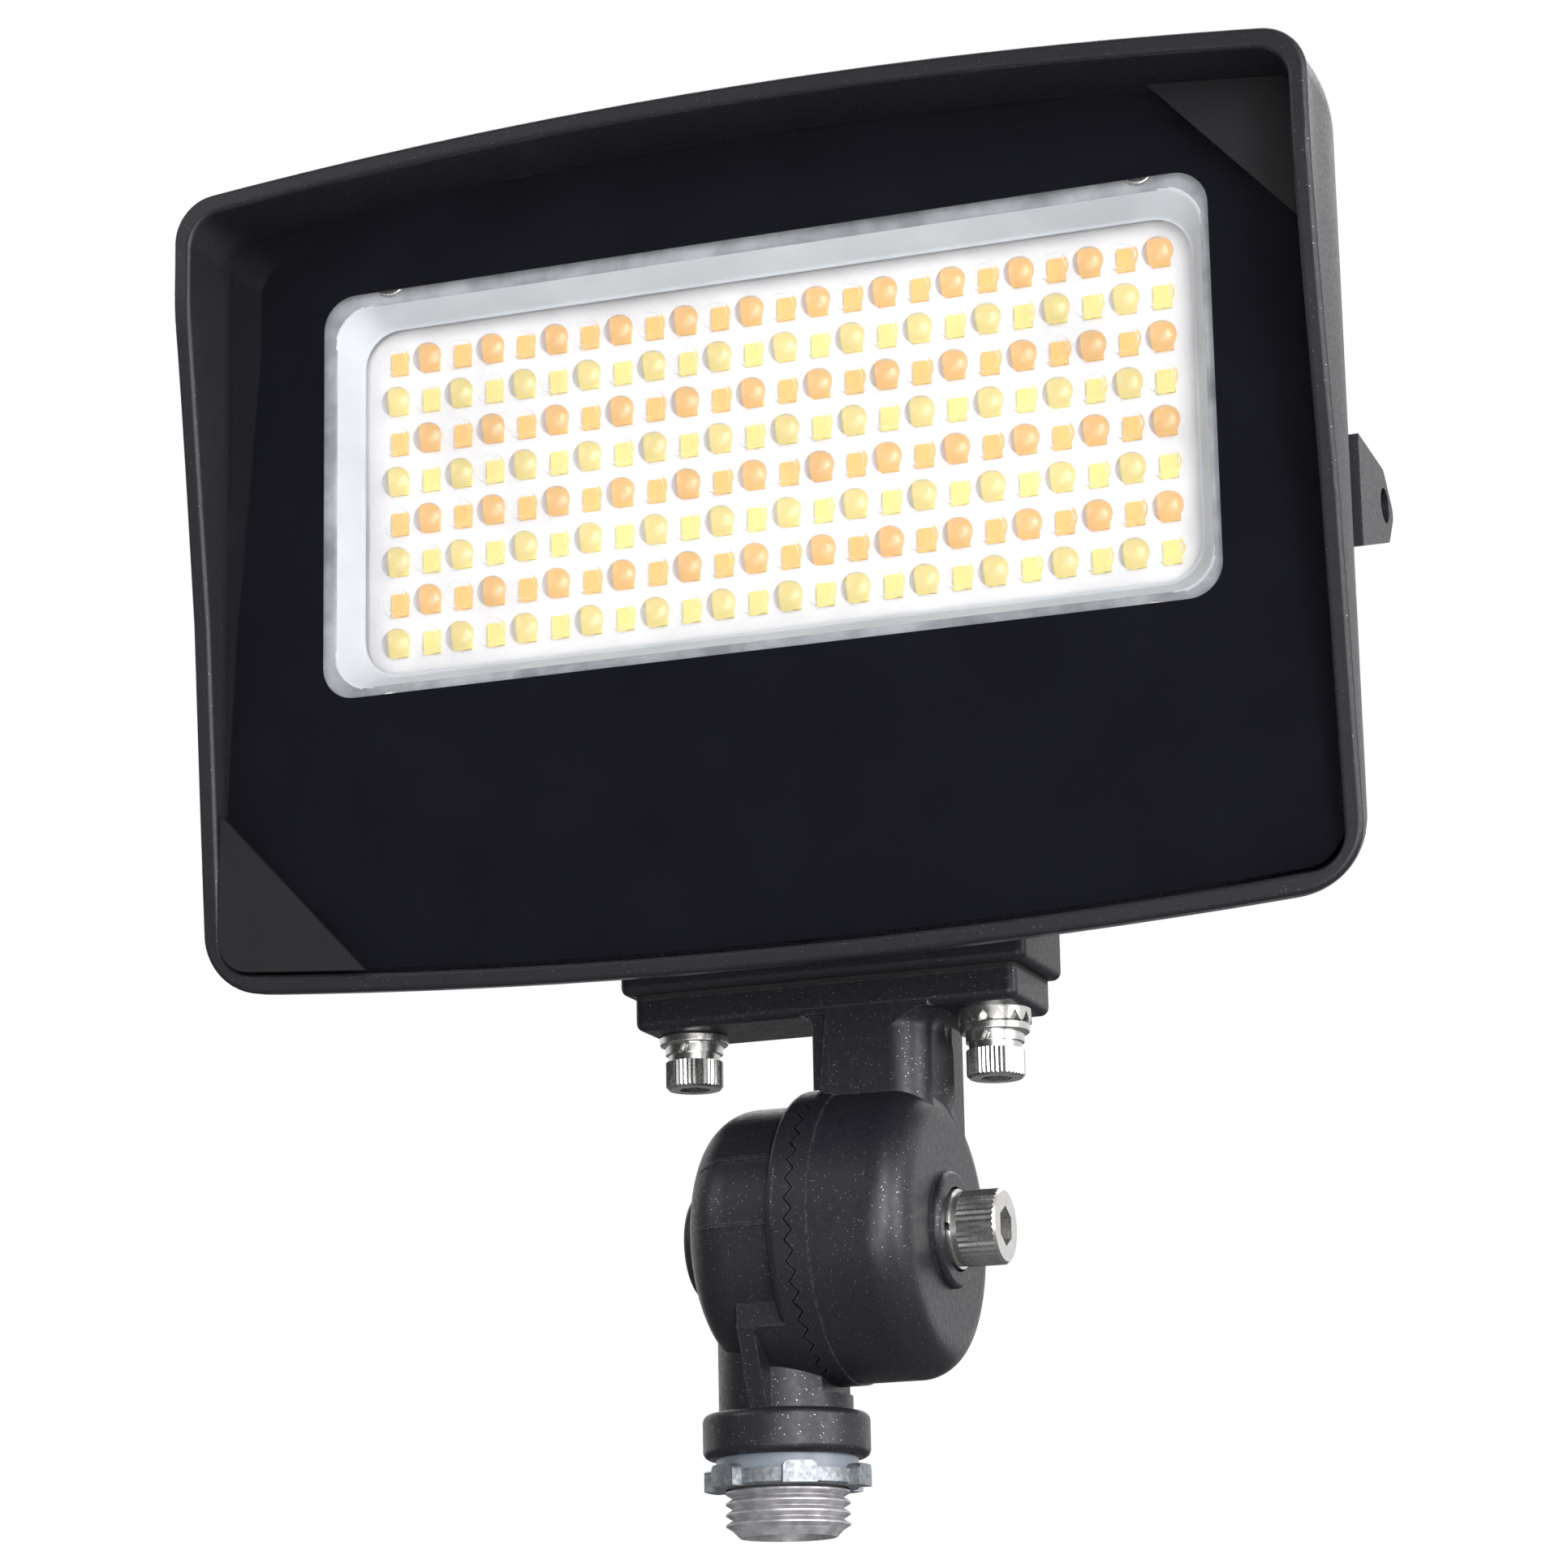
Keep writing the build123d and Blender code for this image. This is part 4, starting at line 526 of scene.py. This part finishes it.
nodeLooks = {
    "housing": "headPaint", "rear_cover": "headPaint", "corner_plate_upper": "plate",
    "corner_plate_lower": "plate", "lower_knuckle": "lowerKnuckle",
    "upper_knuckle": "upperKnuckle", "pivot_bolt": "steel", "pivot_spring_washer": "steel",
    "flange_screws": "steel", "flange_spring_washers": "steel", "flange_flat_washers": "steel",
    "flange_tooth_washer": "steel", "lens_screws": "steel", "driver_screws": "steel",
    "rear_cover_screws": "steel", "locknut": "zinc", "pivot_nut": "zinc",
    "sealing_washer": "clearRubber", "pivot_seal": "blackRubber", "flange_gasket": "blackRubber",
    "glass_gasket": "blackRubber", "rear_cover_gasket": "blackRubber",
    "wire_grommet": "blackRubber", "selector_plug": "blackRubber", "pivot_cap": "blackPlastic",
    "selector_body": "blackPlastic", "vent_plug": "blackPlastic", "glass_mask": "print",
    "front_glass": "glass", "lens_tray": "lens", "led_chips_warm": "warm",
    "led_chips_cool": "cool", "led_board": "board", "thermal_pad": "pad",
    "board_connector": "whitePlastic", "led_leads": "whitePlastic", "driver_case": "whitePlastic",
    "selector_slider": "whitePlastic",
}
for nodeName, lookName in nodeLooks.items():
    nodes[nodeName].material_slots[0].material = looks[lookName]
print("finishes on", len(nodeLooks), "nodes")


# lens tray, with a smooth lens over every emitter

trayShape = {
    "columns": 24, "rows": 8, "pitchX": 6.1, "pitchZ": 7.41,
    "panelHalf": (76.4, 32.1), "panelCorner": 7.0, "panelThickness": 1.2,
    "mouthHalf": (79.1, 34.8), "depth": 5.2, "wall": 1.6,
    "flangeHalf": (86.0, 44.0),
    "domeRadius": 2.8, "domeHeight": 1.3, "domeRings": 5,
    "cupRadius": 2.8, "cupHeight": 0.5, "dishRadius": 2.2, "dishDepth": 0.2,
    "dishEdge": (0.1, 0.05),  # how far the dish's rim starts inside and ends outside it
    "cupEdge": (0.25, 0.05, 0.2),  # the cup's rounded edge, two steps in and one down
    "steps": 16, "cornerSteps": 6, "softEdge": 0.5, "softSteps": 3,
    "steepCup": 0.9,  # steeper faces than this take the cup wall's finish
    "slopeStart": -0.01,  # faces further forward belong to the slope and the flange
    "weld": 0.001, "cellWeld": 0.002,
}
faceFront = Matrix.Rotation(math.pi / 2, 4, "X")


def domeProfile():
    base, rise = trayShape["domeRadius"], trayShape["domeHeight"]
    ball = (base * base + rise * rise) / (2 * rise)
    reach = math.asin(base / ball)
    points = []
    for step in range(trayShape["domeRings"] + 1):
        turn = reach * step / trayShape["domeRings"]
        points.append((ball * math.sin(turn), -rise + ball - ball * math.cos(turn)))
    return points


def cupProfile():
    outer, rise = trayShape["cupRadius"], trayShape["cupHeight"]
    dish, sunk = trayShape["dishRadius"], trayShape["dishDepth"]
    inside, outside = trayShape["dishEdge"]
    far, close, drop = trayShape["cupEdge"]
    return [(0, sunk - rise), (dish - inside, sunk - rise), (dish + outside, -rise),
            (outer - far, -rise), (outer - close, drop - rise), (outer, 0)]


def lensCell(profile, dome):
    # one lens with the flat round it, out to half way to its neighbours
    bm = bmesh.new()
    line = [bm.verts.new((r, y, 0)) for r, y in profile]
    for a, b in zip(line, line[1:]):
        bm.edges.new((a, b))
    bmesh.ops.spin(bm, geom=bm.verts[:] + bm.edges[:], cent=(0, 0, 0), axis=(0, 1, 0),
                   angle=2 * math.pi, steps=trayShape["steps"], use_merge=True)
    bmesh.ops.remove_doubles(bm, verts=bm.verts, dist=trayShape["weld"])
    bm.normal_update()
    for face in bm.faces:
        steep = abs(face.normal.y) < trayShape["steepCup"]
        face.material_index = 1 if dome else 2 if steep else 0
    ring = [edge for edge in bm.edges if edge.is_boundary]
    quarter = trayShape["steps"] // 4
    flat = bmesh.new()
    size = Matrix.Diagonal((trayShape["pitchX"] / 2, trayShape["pitchZ"] / 2, 1, 1))
    bmesh.ops.create_grid(flat, x_segments=quarter, y_segments=quarter, size=1,
                          matrix=faceFront @ size)
    inner = [vert for vert in flat.verts if not vert.is_boundary]
    bmesh.ops.delete(flat, geom=inner, context="VERTS")
    bmesh.ops.delete(flat, geom=flat.faces, context="FACES_ONLY")
    mesh = bpy.data.meshes.new("cellEdge")
    flat.to_mesh(mesh)
    flat.free()
    before = set(bm.edges)
    bm.from_mesh(mesh)
    bpy.data.meshes.remove(mesh)
    outer = [edge for edge in bm.edges if edge not in before]
    for face in bmesh.ops.bridge_loops(bm, edges=ring + outer)["faces"]:
        face.material_index = 0
    return bm


def keepMesh(bm, name):
    mesh = bpy.data.meshes.new(name)
    bm.to_mesh(mesh)
    bm.free()
    return mesh


def roundedLoop(bm, half, corner, y):
    # edges of a round-cornered rectangle facing -Y
    turn = Matrix.Translation((0, y, 0)) @ faceFront
    size = Matrix.Diagonal((half[0], half[1], 1, 1))
    made = bmesh.ops.create_grid(bm, x_segments=1, y_segments=1, size=1, matrix=turn @ size)
    made = bmesh.ops.bevel(bm, geom=made["verts"], offset=corner, offset_type="OFFSET",
                           segments=trayShape["cornerSteps"], profile=0.5, affect="VERTICES",
                           material=-1)
    face = made["verts"][0].link_faces[0]
    edges = list(face.edges)
    bmesh.ops.delete(bm, geom=[face], context="FACES_ONLY")
    return edges


def softenLoop(bm, edges, size):
    bmesh.ops.bevel(bm, geom=edges, offset=size, offset_type="OFFSET",
                    segments=trayShape["softSteps"], profile=0.5, affect="EDGES", material=-1)


def growLoop(bm, edges, wider, higher, deeper):
    # carries a round-cornered loop on: each quarter moves out by the same amounts
    made = bmesh.ops.extrude_edge_only(bm, edges=edges)["geom"]
    verts = [item for item in made if isinstance(item, bmesh.types.BMVert)]
    for sideX in (-1, 1):
        for sideZ in (-1, 1):
            quarter = [vert for vert in verts if vert.co.x * sideX > 0 and vert.co.z * sideZ > 0]
            bmesh.ops.translate(bm, verts=quarter, vec=(sideX * wider, 0, sideZ * higher))
    bmesh.ops.translate(bm, verts=verts, vec=(0, deeper, 0))
    return [item for item in made if isinstance(item, bmesh.types.BMEdge)]


def lensField(bm):
    # rows and columns of domes and cups, like a chessboard
    t = trayShape
    cells = {True: keepMesh(lensCell(domeProfile(), True), "domeCell"),
             False: keepMesh(lensCell(cupProfile(), False), "cupCell")}
    for row in range(t["rows"]):
        for column in range(t["columns"]):
            count = len(bm.verts)
            bm.from_mesh(cells[(row + column) % 2 == 1])
            x = (column - (t["columns"] - 1) / 2) * t["pitchX"]
            z = ((t["rows"] - 1) / 2 - row) * t["pitchZ"]
            bm.verts.ensure_lookup_table()
            bmesh.ops.translate(bm, verts=bm.verts[count:], vec=(x, 0, z))
    for mesh in cells.values():
        bpy.data.meshes.remove(mesh)
    bmesh.ops.remove_doubles(bm, verts=bm.verts, dist=t["cellWeld"])
    return [edge for edge in bm.edges if edge.is_boundary]


def inField(face):
    # whether a face lies within the block of lenses
    place, t = face.calc_center_median(), trayShape
    return (abs(place.x) < t["columns"] * t["pitchX"] / 2
            and abs(place.z) < t["rows"] * t["pitchZ"] / 2)


def makeTray():
    t = trayShape
    low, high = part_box("lens_tray")
    wall = t["wall"]
    total = (high.y - low.y) / mm
    slope = t["mouthHalf"][0] - t["panelHalf"][0]
    flangeX = t["flangeHalf"][0] - t["mouthHalf"][0]
    flangeZ = t["flangeHalf"][1] - t["mouthHalf"][1]
    bm = bmesh.new()
    field = lensField(bm)
    panel = roundedLoop(bm, t["panelHalf"], t["panelCorner"], 0)
    bmesh.ops.triangle_fill(bm, edges=field + panel, use_beauty=True)
    mouth = growLoop(bm, panel, slope, slope, -t["depth"])
    rim = growLoop(bm, mouth, flangeX, flangeZ, 0)
    rimBack = growLoop(bm, rim, 0, 0, wall)
    root = growLoop(bm, rimBack, wall - flangeX, wall - flangeZ, 0)
    shoulder = growLoop(bm, root, -slope, -slope, t["depth"] - wall)
    skirt = growLoop(bm, shoulder, 0, 0, total - t["depth"])
    lip = growLoop(bm, skirt, -wall, -wall, 0)
    back = growLoop(bm, lip, 0, 0, t["panelThickness"] - (total - t["depth"]))
    bmesh.ops.contextual_create(bm, geom=back)
    softenLoop(bm, panel + mouth, t["softEdge"])
    for face in bm.faces:
        place = face.calc_center_median()
        if place.y < t["slopeStart"] and not inField(face):
            outside = abs(place.x) > t["mouthHalf"][0] or abs(place.z) > t["mouthHalf"][1]
            face.material_index = 4 if outside else 3
    centre = (low + high) / 2
    bmesh.ops.scale(bm, vec=(mm, mm, mm), verts=bm.verts)
    bmesh.ops.translate(bm, verts=bm.verts,
                        vec=(centre.x, low.y + t["depth"] * mm, centre.z))
    finishes = [looks[name] for name in ("lens", "dome", "cupWall", "milky", "band")]
    return finishPiece(bm, "lensTray", finishes, "head", ["lens_tray"])


def finishPiece(bm, name, finishes, body, replaced=(), sharp=32):
    bmesh.ops.remove_doubles(bm, verts=bm.verts, dist=trayShape["weld"] * mm)
    bmesh.ops.recalc_face_normals(bm, faces=bm.faces)
    loose = sum(1 for edge in bm.edges if len(edge.link_faces) != 2)
    for face in bm.faces:
        face.smooth = True
    for edge in bm.edges:
        if len(edge.link_faces) == 2 and edge.calc_face_angle() > math.radians(sharp):
            edge.smooth = False
    piece = bpy.data.objects.new(name, keepMesh(bm, name))
    for material in finishes:
        piece.data.materials.append(material)
    scene.collection.objects.link(piece)
    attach(piece, body)
    if replaced:
        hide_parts(*replaced)
    print(name, len(piece.data.polygons), "faces,", loose, "open edges")
    return piece


makeTray()
